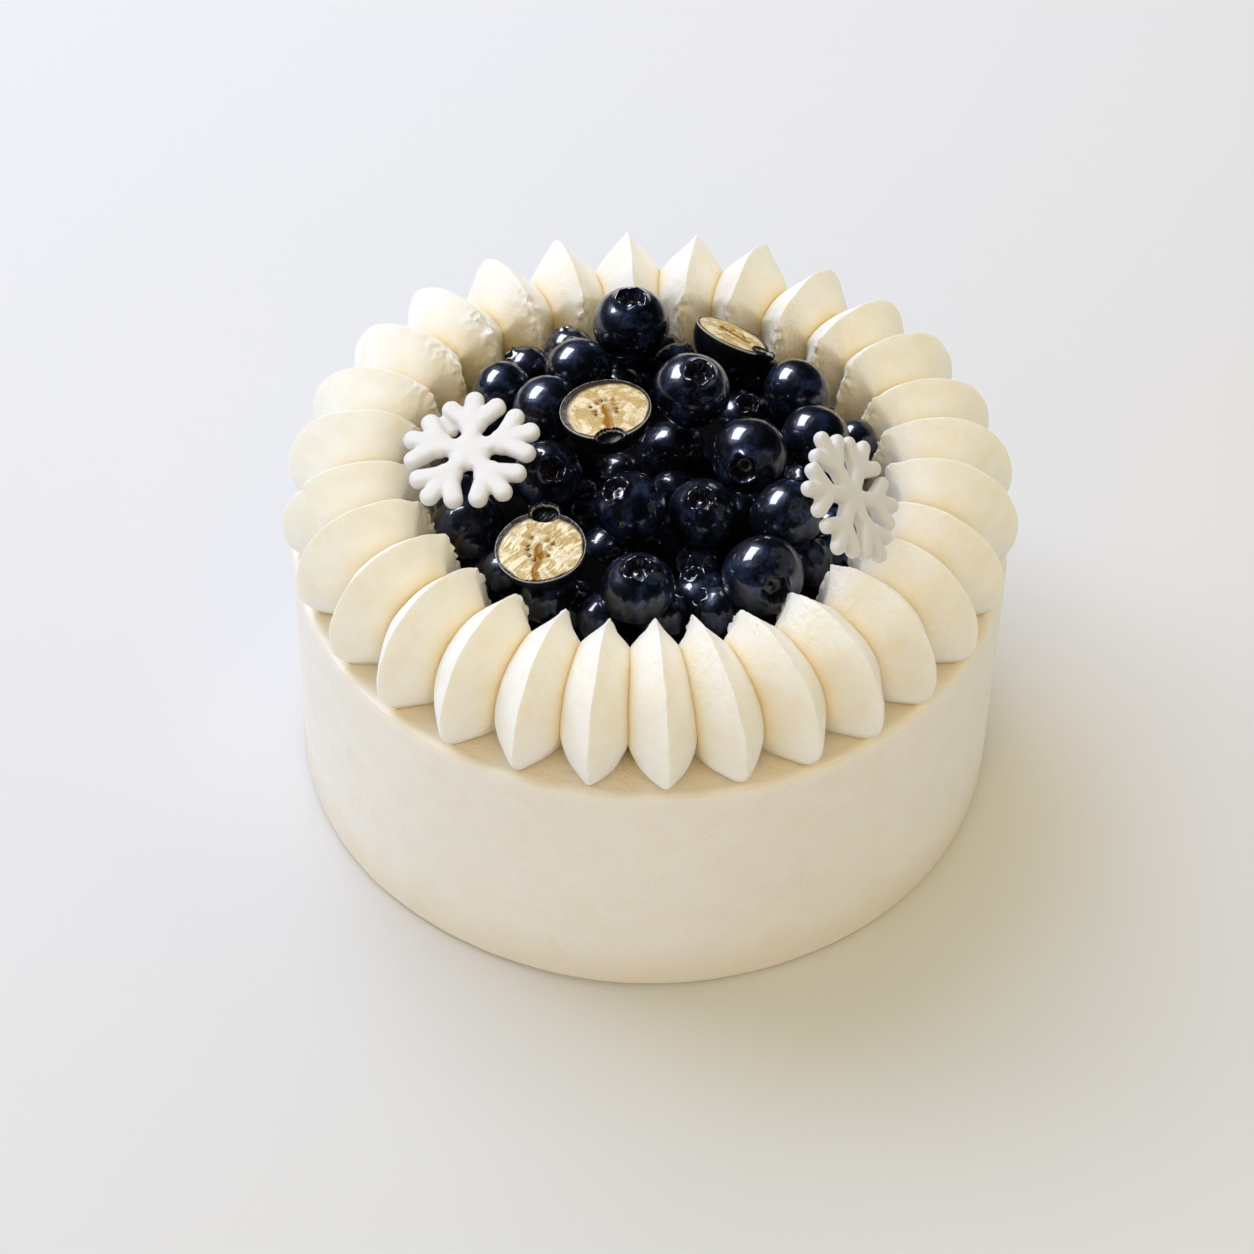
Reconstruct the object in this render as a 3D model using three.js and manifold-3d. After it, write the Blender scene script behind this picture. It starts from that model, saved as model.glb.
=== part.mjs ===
// Blueberry shortcake: a smooth round cream cake, a ring of piped cream petals standing on its top, a heap of
// blueberries inside the ring and two sugar snowflakes lying on the heap.
// Millimetres, +Z up. The origin is the middle of the cake's foot and the front of the cake faces -Y.
import * as THREE from "three";
import { LoftGeometry } from "three/addons/geometries/LoftGeometry.js";
import { mergeVertices } from "three/addons/utils/BufferGeometryUtils.js";
import Module from "manifold-3d";

const wasm = await Module();
wasm.setup();

// Driving dimensions

const CAKE = {
  footRadius: 75,
  rimRadius: 75.3,
  height: 58.7, // the flat top that everything stands on
  footRounding: 1.2,
  lipHeight: 0.5, // the scraped-up edge of the icing
  lipWidth: 2.2,
  waviness: 0.3, // how far the spread icing strays from round
  segments: 70,
  lipSteps: 3,
};

// The waves that spreading leaves in the icing: how many go round, their share of the waviness, where they start,
// and the height over which they turn by one radian.
const ICING_WAVES = [
  { around: 3, share: 0.62, start: 0.7, twist: 40 },
  { around: 7, share: 0.38, start: 2, twist: -25 },
];

const PETAL = {
  count: 29,
  firstAzimuth: 2.5, // degrees from the front, growing towards +X
  pivotRadius: 57, // the sections fan out from this line on the cake top
  halfWidth: 7.4,
  archDepth: 16, // how far below the ridge the flanks reach their full width
  endDepth: 3, // the same for the blunt inner end
  archPower: 1.8,
  gap: 0.3,
  stations: 13,
};

// How far one piped petal differs from the next.
const PIPING = {
  height: 0.03, // share of the height
  sway: 0.6, // of the ridge, to a side
  reach: 0.5, // of the ridge, outwards
  raggedness: 0.5, // of the torn inner end
};

// How the even spacing drifts round the cake, in degrees: once round, side to side and front to back, and twice round.
const DRIFT = { sides: -3.15, frontToBack: 1.9, twice: -1.06 };

// The petals right of the front are piped aslant: their inner tips lie further back round the ring than their feet.
const SLANT = {
  azimuth: 22, // degrees, where the slant is largest
  spread: 20,
  angle: 3.6, // degrees that the inner tip lags
  middleRadius: 68.3, // what the slant leaves in place
  reach: 19.3, // from there to the inner tip
};

// The ridge of a petal, from its pointed outer foot over the crown to the blunt inner end: distance from the
// cake's axis, and height above the cake's top.
const RIDGE = new THREE.SplineCurve([
  new THREE.Vector2(72.2, 0),
  new THREE.Vector2(76.6, 4.4),
  new THREE.Vector2(77.3, 11),
  new THREE.Vector2(75.3, 16.8),
  new THREE.Vector2(71.8, 21.8),
  new THREE.Vector2(67.2, 25),
  new THREE.Vector2(62.2, 26.7),
  new THREE.Vector2(57.2, 27),
  new THREE.Vector2(53, 26),
  new THREE.Vector2(49.8, 23.8),
  new THREE.Vector2(48.2, 16),
  new THREE.Vector2(47, 8),
  new THREE.Vector2(46.2, 0),
]);
const RIDGE_TIP = 9 / 12; // where the inner end starts, as a share of the ridge

// How deep under the ridge each ring of points of a flank lies, as shares of the way to the pivot.
const FLANK = [0, 0.1, 0.26, 0.5, 1];

// A blueberry, in berry radii.
const BERRY = {
  flatness: 0.93, // height over width
  latitudes: [-90, -50, -10, 22, 57], // degrees, of the rings of points from the stalk end up
  crownRadius: 0.38, // the ring round the blossom end
  crownRise: 0.07,
  crownNotch: 0.035,
  crownLobes: 5,
  pitRadius: 0.22,
  pitDepth: 0.16,
  openSegments: 15, // round a berry that shows its crown
  shutSegments: 12,
};

// The whole berries: centre, height of the centre above the cake's top, radius, and the way the blossom end faces.
// Those with an open crown show it from above.
const BERRIES = [
  { x: -4.6, y: 36.6, up: 25.6, radius: 8.4, crown: [0, -0.05, 1], open: true },
  { x: -17.9, y: 38.2, up: 16.5, radius: 5.5, crown: [-0.3, 0.6, 0.7] },
  { x: -15.7, y: 25.6, up: 21.4, radius: 7.4, crown: [-0.2, 0.9, 0.3] },
  { x: -27.1, y: 33.3, up: 15.2, radius: 5.4, crown: [-0.6, 0.2, 0.5] },
  { x: -31, y: 22, up: 19, radius: 6.6, crown: [-0.9, 0.3, -0.2] },
  { x: -21.7, y: 11.6, up: 23.1, radius: 7.6, crown: [-0.4, 0.9, -0.1] },
  { x: 5.6, y: 34.3, up: 15.4, radius: 5.8, crown: [0.6, 0.4, 0.6] },
  { x: 8.3, y: 11.9, up: 28.8, radius: 8.2, crown: [0.19, -0.26, 0.95], open: true },
  { x: 30.1, y: 20.4, up: 21.5, radius: 7.4, crown: [0.5, 0.8, 0.1] },
  { x: 33.9, y: 4.8, up: 23, radius: 7.4, crown: [0.3, 0.8, 0.4] },
  { x: 42.2, y: 12.2, up: 15.5, radius: 5.1, crown: [0.9, 0.1, -0.3] },
  { x: 20.2, y: -3.2, up: 25.7, radius: 8.2, crown: [-0.2, -0.9, 0.36], open: true },
  { x: 4.4, y: 11.1, up: 13.1, radius: 7.4, crown: [0.2, -0.8, -0.5] },
  { x: 19.8, y: 22.5, up: 11.6, radius: 6.4, crown: [0.1, -0.2, 0.9] },
  { x: -21.2, y: -5.9, up: 21.5, radius: 7.4, crown: [0.19, -0.57, 0.8], open: true },
  { x: -3.9, y: -17.3, up: 23.6, radius: 7.6, crown: [-0.49, -0.12, 0.86], open: true },
  { x: 10.7, y: -14.5, up: 19.3, radius: 7.5, crown: [-0.06, -0.32, 0.95], open: true },
  { x: 27.3, y: -17.8, up: 22.9, radius: 7.9, crown: [0.8, -0.4, -0.4] },
  { x: -2.3, y: -37, up: 20, radius: 7.8, crown: [0, -0.17, 0.98], open: true },
  { x: 22.7, y: -33.9, up: 21.8, radius: 8.5, crown: [0.31, -0.88, 0.35], open: true },
  { x: 10.3, y: -32, up: 12.3, radius: 6.7, crown: [-0.3, 0.3, 0.9] },
  { x: -15.9, y: -33.3, up: 10.1, radius: 6.8, crown: [0.4, -0.5, 0.7] },
  { x: -37.1, y: -12.2, up: 12.6, radius: 7.6, crown: [0.2, -0.9, 0.4] },
  { x: 36.6, y: -19.1, up: 11.5, radius: 6.4, crown: [0.4, -0.8, 0.3] },
];

// The halved berries: centre of the cut face, radius, the way the cut face looks and the way its blossom end points.
const HALVES = [
  { x: -9.6, y: 3.9, up: 31.3, radius: 9.2, face: [-0.1, 0.02, 0.99], crown: [0.14, -1, 0] },
  { x: 17, y: 33.3, up: 26, radius: 8.4, face: [0.39, 0.39, 0.84], crown: [0.8, -0.5, 0] },
  { x: -22.1, y: -30.1, up: 24.9, radius: 8.9, face: [-0.1, -0.15, 0.98], crown: [0.1, 1, 0.1] },
];

// Berries at the bottom of the heap, grown together with the juice-soaked filling round them.
const LOW_BERRIES = [
  { x: 35.6, y: 11.3, up: 6.4, radius: 5.8 },
  { x: -30.4, y: -24.1, up: 10.4, radius: 5.6 },
  { x: -11.5, y: -8.4, up: 11.3, radius: 5.8 },
  { x: -6.3, y: 29.9, up: 12.2, radius: 5.8 },
  { x: 20, y: -4, up: 8, radius: 6 },
  { x: 3, y: -17, up: 7, radius: 5.7 },
  { x: -24, y: -6, up: 7, radius: 5.7 },
  { x: -22, y: 14, up: 8, radius: 6 },
  { x: 33, y: 22, up: 7, radius: 5.2 },
  { x: 24, y: -19, up: 7, radius: 5.7 },
  { x: 17, y: 34.6, up: 7, radius: 5.6 },
  { x: -17, y: 36, up: 5, radius: 4.8 },
];

const FILLING = {
  radius: 44.5,
  height: 10, // in the middle
  edgeHeight: 5,
  clearance: 1.3, // kept to the berries that lie on it
  rings: 8,
  segments: 29,
  berrySegments: 9,
  berryRings: 6,
};

const FLAKE = {
  thickness: 2.8,
  barHalfWidth: 1.75,
  tipDistance: 13,
  branchRoot: 6.2,
  branchEndAside: 4.9,
  branchEndAlong: 10.9,
  stubLength: 8.2,
  stubTurn: 0.5, // between the first arm and the second, as a share of the angle from one to the other
  arcSegments: 2,
};

// The snowflakes: centre, the way the face looks and the way the first arm points. One has a small stub as well.
const FLAKES = {
  snowflake_left: {
    centre: [-36.9, -8.4, 30],
    face: [-0.19, -0.18, 0.97],
    arm: [0.04, 0.98, 0.19],
    arms: 5,
    stub: true,
  },
  snowflake_right: {
    centre: [39.5, -27.4, 37.5],
    face: [0.72, -0.23, 0.65],
    arm: [-0.46, 0.53, 0.71],
    arms: 6,
    stub: false,
  },
};

// Finishes

function finish(color, roughness) {
  return new THREE.MeshStandardMaterial({ color, roughness, metalness: 0 });
}

const ICING = finish("#f6efdf", 0.55);
const PIPED_CREAM = finish("#f8f1e0", 0.5);
const BERRY_SKIN = finish("#1c2340", 0.15);
const CUT_BERRY = finish("#d9cc98", 0.25);
const BERRY_FILLING = finish("#14172b", 0.2);
const SUGAR = finish("#f7f5f1", 0.7);

// Shared helpers

const WELD = 1e-4; // points closer than this are one

// A repeatable random value from -1 to 1 for a numbered piece.
function wander(piece, trait) {
  const large = 7919;
  return THREE.MathUtils.seededRandom(piece * large + trait) * 2 - 1;
}

// A direction in the cake's plane at an azimuth counted from the front.
function outward(azimuth) {
  return new THREE.Vector2(Math.sin(azimuth), -Math.cos(azimuth));
}

function solidOf(geometry) {
  const bare = new THREE.BufferGeometry();
  bare.setAttribute("position", geometry.getAttribute("position"));
  bare.setIndex(geometry.index);
  const merged = mergeVertices(bare, WELD);
  return new wasm.Manifold(
    new wasm.Mesh({
      numProp: 3,
      vertProperties: merged.attributes.position.array,
      triVerts: new Uint32Array(merged.index.array),
    }),
  );
}

function geometryOf(solid) {
  const mesh = solid.getMesh();
  const geometry = new THREE.BufferGeometry();
  geometry.setAttribute("position", new THREE.BufferAttribute(mesh.vertProperties, 3));
  geometry.setIndex(new THREE.BufferAttribute(mesh.triVerts, 1));
  geometry.computeVertexNormals();
  return geometry;
}

function piece(name, geometry, material) {
  const mesh = new THREE.Mesh(geometry, material);
  mesh.name = name;
  return mesh;
}

// The iced cake, one solid

function cakeGeometry() {
  const { footRadius, rimRadius, height, footRounding, lipHeight, lipWidth } = CAKE;
  const lip = new THREE.EllipseCurve(rimRadius - lipWidth / 2, height, lipWidth / 2, lipHeight, 0, Math.PI);
  const profile = [
    new THREE.Vector2(0, 0),
    new THREE.Vector2(footRadius - footRounding, 0),
    new THREE.Vector2(footRadius, footRounding),
    new THREE.Vector2((footRadius + rimRadius) / 2, height / 2),
    ...lip.getPoints(CAKE.lipSteps),
    new THREE.Vector2(0, height),
  ];
  const geometry = new THREE.LatheGeometry(profile, CAKE.segments).rotateX(Math.PI / 2);
  const position = geometry.attributes.position;
  const spot = new THREE.Vector3();
  for (let i = 0; i < position.count; i++) {
    spot.fromBufferAttribute(position, i);
    const azimuth = Math.atan2(spot.x, -spot.y);
    const wave = ICING_WAVES.reduce(
      (sum, { around, share, start, twist }) => sum + share * Math.sin(around * azimuth + start + spot.z / twist),
      0,
    );
    const factor = 1 + (CAKE.waviness * wave) / footRadius;
    position.setXYZ(i, spot.x * factor, spot.y * factor, spot.z);
  }
  return geometry;
}

// One piped petal, built pointing along +X

// The azimuth of a petal: evenly piped, a little closer together towards the front.
function petalAzimuth(index) {
  const even = (index * 2 * Math.PI) / PETAL.count;
  const drift =
    DRIFT.sides * Math.sin(even) + DRIFT.frontToBack * (Math.cos(even) - 1) + DRIFT.twice * Math.sin(2 * even);
  return THREE.MathUtils.degToRad(PETAL.firstAzimuth + drift) + even;
}

// Turns a point of a petal built along +X round the cake's axis, the foot one way and the inner tip the other.
function slanted(point, petalDirection) {
  const radius = Math.hypot(point.x, point.y);
  const angle = Math.atan2(point.y, point.x);
  const degrees = THREE.MathUtils.radToDeg(petalDirection + angle);
  const away = (THREE.MathUtils.euclideanModulo(degrees - SLANT.azimuth + 180, 360) - 180) / SLANT.spread;
  const turn = THREE.MathUtils.degToRad(SLANT.angle) * Math.exp(-(away ** 2));
  const turned = angle + (turn * (radius - SLANT.middleRadius)) / SLANT.reach;
  return new THREE.Vector3(radius * Math.cos(turned), radius * Math.sin(turned), point.z);
}

// The half width of a petal this deep under its ridge: steep at first, then upright.
function archWidth(depth, fullDepth) {
  const share = Math.min(depth / fullDepth, 1);
  return PETAL.halfWidth * (1 - (1 - share) ** PETAL.archPower);
}

function petalGeometry(index, here, angleBefore, angleAfter) {
  const tall = 1 + PIPING.height * wander(index, 1);
  const sway = PIPING.sway * wander(index, 2);
  const reach = PIPING.reach * wander(index, 3);
  const firstTear = 10; // traits up to here are the ones above
  const sections = [];
  for (let station = 0; station < PETAL.stations; station++) {
    const along = station / (PETAL.stations - 1);
    const ridge = RIDGE.getPoint(along);
    const inner = along > RIDGE_TIP;
    const ragged = inner ? PIPING.raggedness * wander(index, firstTear + station) : 0;
    const crest = Math.sin(Math.PI * along);
    const x = ridge.x + reach * crest + ragged;
    const z = Math.max(ridge.y * tall, 0);
    const fullDepth = inner ? PETAL.endDepth : PETAL.archDepth;
    const length = Math.hypot(x - PETAL.pivotRadius, z);
    const section = [];
    const pointOn = (side, share) => {
      const px = THREE.MathUtils.lerp(x, PETAL.pivotRadius, share);
      const pz = THREE.MathUtils.lerp(z, 0, share);
      const half = side > 0 ? angleAfter / 2 : angleBefore / 2;
      const limit = px * Math.tan(half) - PETAL.gap / 2 / Math.cos(half);
      const lean = sway * crest * (1 - share) * (1 - share);
      const wide = lean + side * archWidth(share * length, fullDepth);
      return slanted(new THREE.Vector3(px, side * Math.min(side * wide, limit), pz), here);
    };
    for (let ring = FLANK.length - 1; ring > 0; ring--) {
      section.push(pointOn(-1, FLANK[ring]));
    }
    section.push(pointOn(1, 0));
    for (let ring = 1; ring < FLANK.length; ring++) {
      section.push(pointOn(1, FLANK[ring]));
    }
    sections.push(section);
  }
  return new LoftGeometry(sections, { capStart: true, capEnd: true });
}

function petals() {
  const group = new THREE.Group();
  const count = PETAL.count;
  for (let index = 0; index < count; index++) {
    const here = petalAzimuth(index);
    const before = here - petalAzimuth(index - 1);
    const after = petalAzimuth(index + 1) - here;
    const name = "cream_petal_" + String(index + 1).padStart(2, "0");
    const petal = piece(name, petalGeometry(index, here, before, after), PIPED_CREAM);
    petal.rotation.z = here - Math.PI / 2;
    petal.position.z = CAKE.height;
    group.add(petal);
  }
  return group;
}

// Berries

// A berry round its own +Z axis, with the crown of its blossom end on top.
function berryGeometry(radius, segments) {
  const { flatness, latitudes, crownRadius, crownRise, crownNotch, crownLobes, pitRadius, pitDepth } = BERRY;
  const top = Math.sqrt(1 - crownRadius ** 2) * flatness;
  const skin = latitudes.map(THREE.MathUtils.degToRad).map((lat) => [Math.cos(lat), flatness * Math.sin(lat)]);
  const crown = [crownRadius, top + crownRise];
  const profile = [...skin, crown, [pitRadius, top - pitDepth], [0, top - pitDepth]];
  const points = profile.map(([x, y]) => new THREE.Vector2(x * radius, y * radius));
  const geometry = new THREE.LatheGeometry(points, segments).rotateX(Math.PI / 2);
  const position = geometry.attributes.position;
  for (let step = 0; step <= segments; step++) {
    const at = step * profile.length + profile.indexOf(crown);
    const lobe = Math.cos((crownLobes * step * 2 * Math.PI) / segments);
    position.setZ(at, position.getZ(at) + crownNotch * radius * lobe);
  }
  return geometry;
}

// Turns a piece so that its own +Z looks the given way.
function face(mesh, direction) {
  const target = new THREE.Vector3(...direction).normalize();
  mesh.quaternion.setFromUnitVectors(new THREE.Vector3(0, 0, 1), target);
}

function wholeBerries() {
  const group = new THREE.Group();
  BERRIES.forEach((berry, index) => {
    const geometry = berryGeometry(berry.radius, berry.open ? BERRY.openSegments : BERRY.shutSegments);
    const mesh = piece("blueberry_" + String(index + 1).padStart(2, "0"), geometry, BERRY_SKIN);
    face(mesh, berry.crown);
    mesh.position.set(berry.x, berry.y, CAKE.height + berry.up);
    group.add(mesh);
  });
  return group;
}

// A berry cut in two through its blossom end. The cut face looks along +Z and the crown points along +X.
function halfBerryGeometry(radius) {
  const whole = berryGeometry(radius, BERRY.openSegments).rotateY(Math.PI / 2);
  const side = 4 * radius;
  const above = new THREE.BoxGeometry(side, side, side).translate(0, 0, side / 2);
  return geometryOf(solidOf(whole).subtract(solidOf(above)));
}

function halfBerries() {
  const group = new THREE.Group();
  HALVES.forEach((half, index) => {
    const mesh = piece("half_blueberry_" + (index + 1), halfBerryGeometry(half.radius), CUT_BERRY);
    orient(mesh, half.face, half.crown);
    mesh.position.set(half.x, half.y, CAKE.height + half.up);
    group.add(mesh);
  });
  return group;
}

// Turns a piece so that its own +Z looks along facing, and its own +X points as near as it can to pointing.
function orient(mesh, facing, pointing) {
  const z = new THREE.Vector3(...facing).normalize();
  const towards = new THREE.Vector3(...pointing);
  const x = towards.addScaledVector(z, -towards.dot(z)).normalize();
  const y = new THREE.Vector3().crossVectors(z, x);
  mesh.quaternion.setFromRotationMatrix(new THREE.Matrix4().makeBasis(x, y, z));
}

// The filling at the bottom of the heap, with the lowest berries fused to it, one solid

function fillingTop(x, y) {
  const share = Math.hypot(x, y) / FILLING.radius;
  const dome = FILLING.edgeHeight + (FILLING.height - FILLING.edgeHeight) * (1 - share ** 2);
  const resting = [...BERRIES, ...HALVES];
  return resting.reduce((lowest, berry) => {
    const reach = berry.radius + FILLING.clearance;
    const aside = Math.hypot(x - berry.x, y - berry.y);
    return aside < reach ? Math.min(lowest, berry.up - Math.sqrt(reach ** 2 - aside ** 2)) : lowest;
  }, dome);
}

function fillingGeometry() {
  const sections = [];
  const ringAt = (radius, heightOf) => {
    const ring = [];
    for (let step = 0; step < FILLING.segments; step++) {
      const way = outward((step * 2 * Math.PI) / FILLING.segments).multiplyScalar(radius);
      ring.push(new THREE.Vector3(way.x, way.y, heightOf(way.x, way.y)));
    }
    return ring;
  };
  sections.push(ringAt(FILLING.radius, () => 0));
  for (let ring = FILLING.rings; ring > 0; ring--) {
    sections.push(ringAt((FILLING.radius * ring) / FILLING.rings, fillingTop));
  }
  sections.push(ringAt(0, fillingTop));
  const core = new LoftGeometry(sections, { capStart: true });
  let solid = solidOf(core);
  LOW_BERRIES.forEach((berry) => {
    const ball = new THREE.SphereGeometry(berry.radius, FILLING.berrySegments, FILLING.berryRings);
    ball.rotateX(Math.PI / 2);
    solid = solid.add(solidOf(ball.translate(berry.x, berry.y, berry.up)));
  });
  return geometryOf(solid);
}

// Snowflakes, cut from a soft sheet of sugar

// A bar with round ends from one point to another, lying in the plane Z = 0.
function barGeometry(from, to) {
  const half = FLAKE.barHalfWidth;
  const length = from.distanceTo(to);
  const outline = new THREE.Shape();
  outline.absarc(0, 0, half, Math.PI / 2, Math.PI * 1.5, false);
  outline.absarc(length, 0, half, -Math.PI / 2, Math.PI / 2, false);
  const geometry = new THREE.ExtrudeGeometry(outline, {
    depth: FLAKE.thickness,
    curveSegments: FLAKE.arcSegments,
    bevelEnabled: false,
  });
  const along = to.clone().sub(from);
  geometry.rotateZ(Math.atan2(along.y, along.x));
  return geometry.translate(from.x, from.y, -FLAKE.thickness / 2);
}

function flakeGeometry(arms, stub) {
  const { tipDistance, branchRoot, branchEndAside, branchEndAlong, stubLength, stubTurn } = FLAKE;
  const middle = new THREE.Vector2();
  const turned = (turn, ...ends) => ends.map(([x, y]) => new THREE.Vector2(x, y).rotateAround(middle, turn));
  const step = (2 * Math.PI) / arms;
  const bars = [];
  for (let arm = 0; arm < arms; arm++) {
    bars.push(turned(arm * step, [0, 0], [tipDistance, 0]));
    bars.push(turned(arm * step, [branchRoot, 0], [branchEndAlong, branchEndAside]));
    bars.push(turned(arm * step, [branchRoot, 0], [branchEndAlong, -branchEndAside]));
  }
  if (stub) {
    bars.push(turned(stubTurn * step, [0, 0], [stubLength, 0]));
  }
  const [first, ...others] = bars.map((ends) => solidOf(barGeometry(...ends)));
  return geometryOf(others.reduce((solid, bar) => solid.add(bar), first));
}

function snowflakes() {
  const group = new THREE.Group();
  for (const [name, flake] of Object.entries(FLAKES)) {
    const mesh = piece(name, flakeGeometry(flake.arms, flake.stub), SUGAR);
    orient(mesh, flake.face, flake.arm);
    const [x, y, up] = flake.centre;
    mesh.position.set(x, y, CAKE.height + up);
    group.add(mesh);
  }
  return group;
}

// The whole cake

const cake = new THREE.Group();
cake.add(piece("cake_body", cakeGeometry(), ICING));
const filling = piece("berry_bed", fillingGeometry(), BERRY_FILLING);
filling.position.z = CAKE.height;
cake.add(filling, petals(), wholeBerries(), halfBerries(), snowflakes());

export default cake;
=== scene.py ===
"""Looks of a blueberry shortcake: an iced round cake, a ring of piped cream petals, a heap of glazed blueberries
with three of them halved, and two sugar snowflakes.

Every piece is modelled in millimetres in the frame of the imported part, and its mesh is turned to metres at the end.
"""

import logging
import math
import random
from contextlib import contextmanager
from dataclasses import dataclass, field, replace
from enum import Enum, IntEnum
from typing import Callable, Iterator

import bpy
import numpy as np
from mathutils import Matrix, Vector, noise


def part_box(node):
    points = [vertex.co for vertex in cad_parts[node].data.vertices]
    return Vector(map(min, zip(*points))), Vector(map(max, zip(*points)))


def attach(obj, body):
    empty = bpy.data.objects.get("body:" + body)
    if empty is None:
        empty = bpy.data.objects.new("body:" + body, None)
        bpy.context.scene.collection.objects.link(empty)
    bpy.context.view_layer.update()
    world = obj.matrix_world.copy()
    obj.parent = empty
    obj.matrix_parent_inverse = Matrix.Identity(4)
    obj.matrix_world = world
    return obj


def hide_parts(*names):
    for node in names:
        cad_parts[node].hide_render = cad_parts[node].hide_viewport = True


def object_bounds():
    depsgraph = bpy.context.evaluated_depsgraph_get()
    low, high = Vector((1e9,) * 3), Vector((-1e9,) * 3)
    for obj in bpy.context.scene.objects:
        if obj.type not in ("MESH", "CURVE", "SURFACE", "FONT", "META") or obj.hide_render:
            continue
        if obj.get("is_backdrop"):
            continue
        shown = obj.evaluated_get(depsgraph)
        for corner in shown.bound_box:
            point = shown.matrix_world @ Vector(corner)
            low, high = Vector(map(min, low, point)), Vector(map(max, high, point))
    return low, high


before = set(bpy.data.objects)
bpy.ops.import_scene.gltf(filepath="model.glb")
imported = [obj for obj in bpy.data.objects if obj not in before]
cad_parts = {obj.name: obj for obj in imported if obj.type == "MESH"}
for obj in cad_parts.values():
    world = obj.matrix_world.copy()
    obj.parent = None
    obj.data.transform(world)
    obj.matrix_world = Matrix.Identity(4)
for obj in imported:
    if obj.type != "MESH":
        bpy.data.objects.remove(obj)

LOG = logging.getLogger("shortcake")
MM = 0.001
BODY = "root"
NOISE_SEED = 3
UP = Vector((0, 0, 1))

Pair = tuple[float, float]
Point = tuple[float, float, float]
Four = tuple[float, float, float, float]
Piece = bpy.types.Object
Socket = bpy.types.NodeSocket
Material = bpy.types.Material
Array = np.ndarray


# Working on meshes


def grab(piece: Piece) -> None:
    """Selects one object alone and makes it the active one.

    Args:
        piece: the object.
    """
    bpy.ops.object.select_all(action="DESELECT")
    piece.select_set(True)
    bpy.context.view_layer.objects.active = piece


def named(piece: Piece, name: str) -> Piece:
    """Names a piece and its mesh."""
    piece.name = piece.data.name = name
    return piece


def primitive(name: str, add: Callable, **settings: object) -> Piece:
    """Adds a primitive shape.

    Args:
        name: the new piece's name.
        add: the operator that makes it.
        settings: its values.

    Returns:
        The new piece.
    """
    bpy.ops.object.select_all(action="DESELECT")
    add(**settings)
    return named(bpy.context.active_object, name)


def ball(name: str, segments: int, rings: int, radius: float = 1.0) -> Piece:
    """Adds a ball.

    Args:
        name: the new piece's name.
        segments: how many faces it has round it.
        rings: how many it has from pole to pole.
        radius: its radius.

    Returns:
        The new piece.
    """
    settings = {"segments": segments, "ring_count": rings, "radius": radius}
    return primitive(name, bpy.ops.mesh.primitive_uv_sphere_add, **settings)


@contextmanager
def editing(piece: Piece, mode: str = "VERT") -> Iterator[None]:
    """Opens a piece in edit mode for the steps inside.

    Args:
        piece: the mesh object.
        mode: VERT, EDGE or FACE, what is selected.
    """
    grab(piece)
    bpy.ops.object.mode_set(mode="EDIT")
    bpy.ops.mesh.select_mode(type=mode)
    try:
        yield
    finally:
        bpy.ops.object.mode_set(mode="OBJECT")


def choose_faces(piece: Piece, test: Callable[[bpy.types.MeshPolygon], bool]) -> None:
    """Selects the faces that pass a test and nothing else, for the next edit.

    Args:
        piece: the mesh object, in object mode.
        test: says of a face whether it is wanted.
    """
    mesh = piece.data
    wanted = [test(face) for face in mesh.polygons]
    mesh.vertices.foreach_set("select", [False] * len(mesh.vertices))
    mesh.edges.foreach_set("select", [False] * len(mesh.edges))
    mesh.polygons.foreach_set("select", wanted)


def keep_lower_half(piece: Piece) -> None:
    """Cuts away what lies above z = 0 and closes the cut."""
    with editing(piece):
        bpy.ops.mesh.select_all(action="SELECT")
        bpy.ops.mesh.bisect(plane_co=(0, 0, 0), plane_no=UP, use_fill=True, clear_outer=True)


def points_of(piece: Piece) -> Array:
    """Reads where the vertices of a piece are.

    Args:
        piece: the mesh object.

    Returns:
        Rows of x, y and z.
    """
    points = np.empty(len(piece.data.vertices) * 3, np.float32)
    piece.data.vertices.foreach_get("co", points)
    return points.reshape(-1, 3).astype(float)


def move_points(piece: Piece, points: Array) -> None:
    """Puts the vertices of a piece at these rows of x, y and z."""
    piece.data.vertices.foreach_set("co", points.astype(np.float32).ravel())
    piece.data.update()


def put(piece: Piece, place: Vector | Point, *turns: Matrix) -> Piece:
    """Takes a piece's mesh to a place.

    Args:
        piece: the mesh object.
        place: where its origin goes.
        turns: turns and scales that come first, and of these the last one first of all.

    Returns:
        The same object.
    """
    matrix = Matrix.Translation(place)
    for turn in turns:
        matrix = matrix @ turn
    piece.data.transform(matrix)
    return piece


def mark(piece: Piece, name: str, values: Array) -> None:
    """Keeps one number for each vertex of a piece, for its finish to read."""
    piece.data.attributes.new(name, "FLOAT", "POINT").data.foreach_set("value", values.astype(np.float32))


def give_finishes(piece: Piece, *materials: Material, use: int = 0) -> None:
    """Gives a piece its materials.

    Args:
        piece: the mesh object.
        materials: all that its mesh may use.
        use: the number of the one that all of its faces get.
    """
    piece.data.materials.clear()
    for material in materials:
        piece.data.materials.append(material)
    piece.data.polygons.foreach_set("material_index", [use] * len(piece.data.polygons))


def apply_modifier(piece: Piece, kind: str, **settings: object) -> None:
    """Adds a modifier to a piece and applies it.

    Args:
        piece: the mesh object.
        kind: the modifier's type.
        settings: its values.
    """
    modifier = piece.modifiers.new(kind.lower(), kind)
    for name, value in settings.items():
        setattr(modifier, name, value)
    grab(piece)
    bpy.ops.object.modifier_apply(modifier=modifier.name)


def copy_of(piece: Piece, name: str) -> Piece:
    """Copies a piece with its own mesh.

    Args:
        piece: the mesh object.
        name: the copy's name.

    Returns:
        The copy.
    """
    twin = piece.copy()
    twin.data = piece.data.copy()
    bpy.context.scene.collection.objects.link(twin)
    return named(twin, name)


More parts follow.
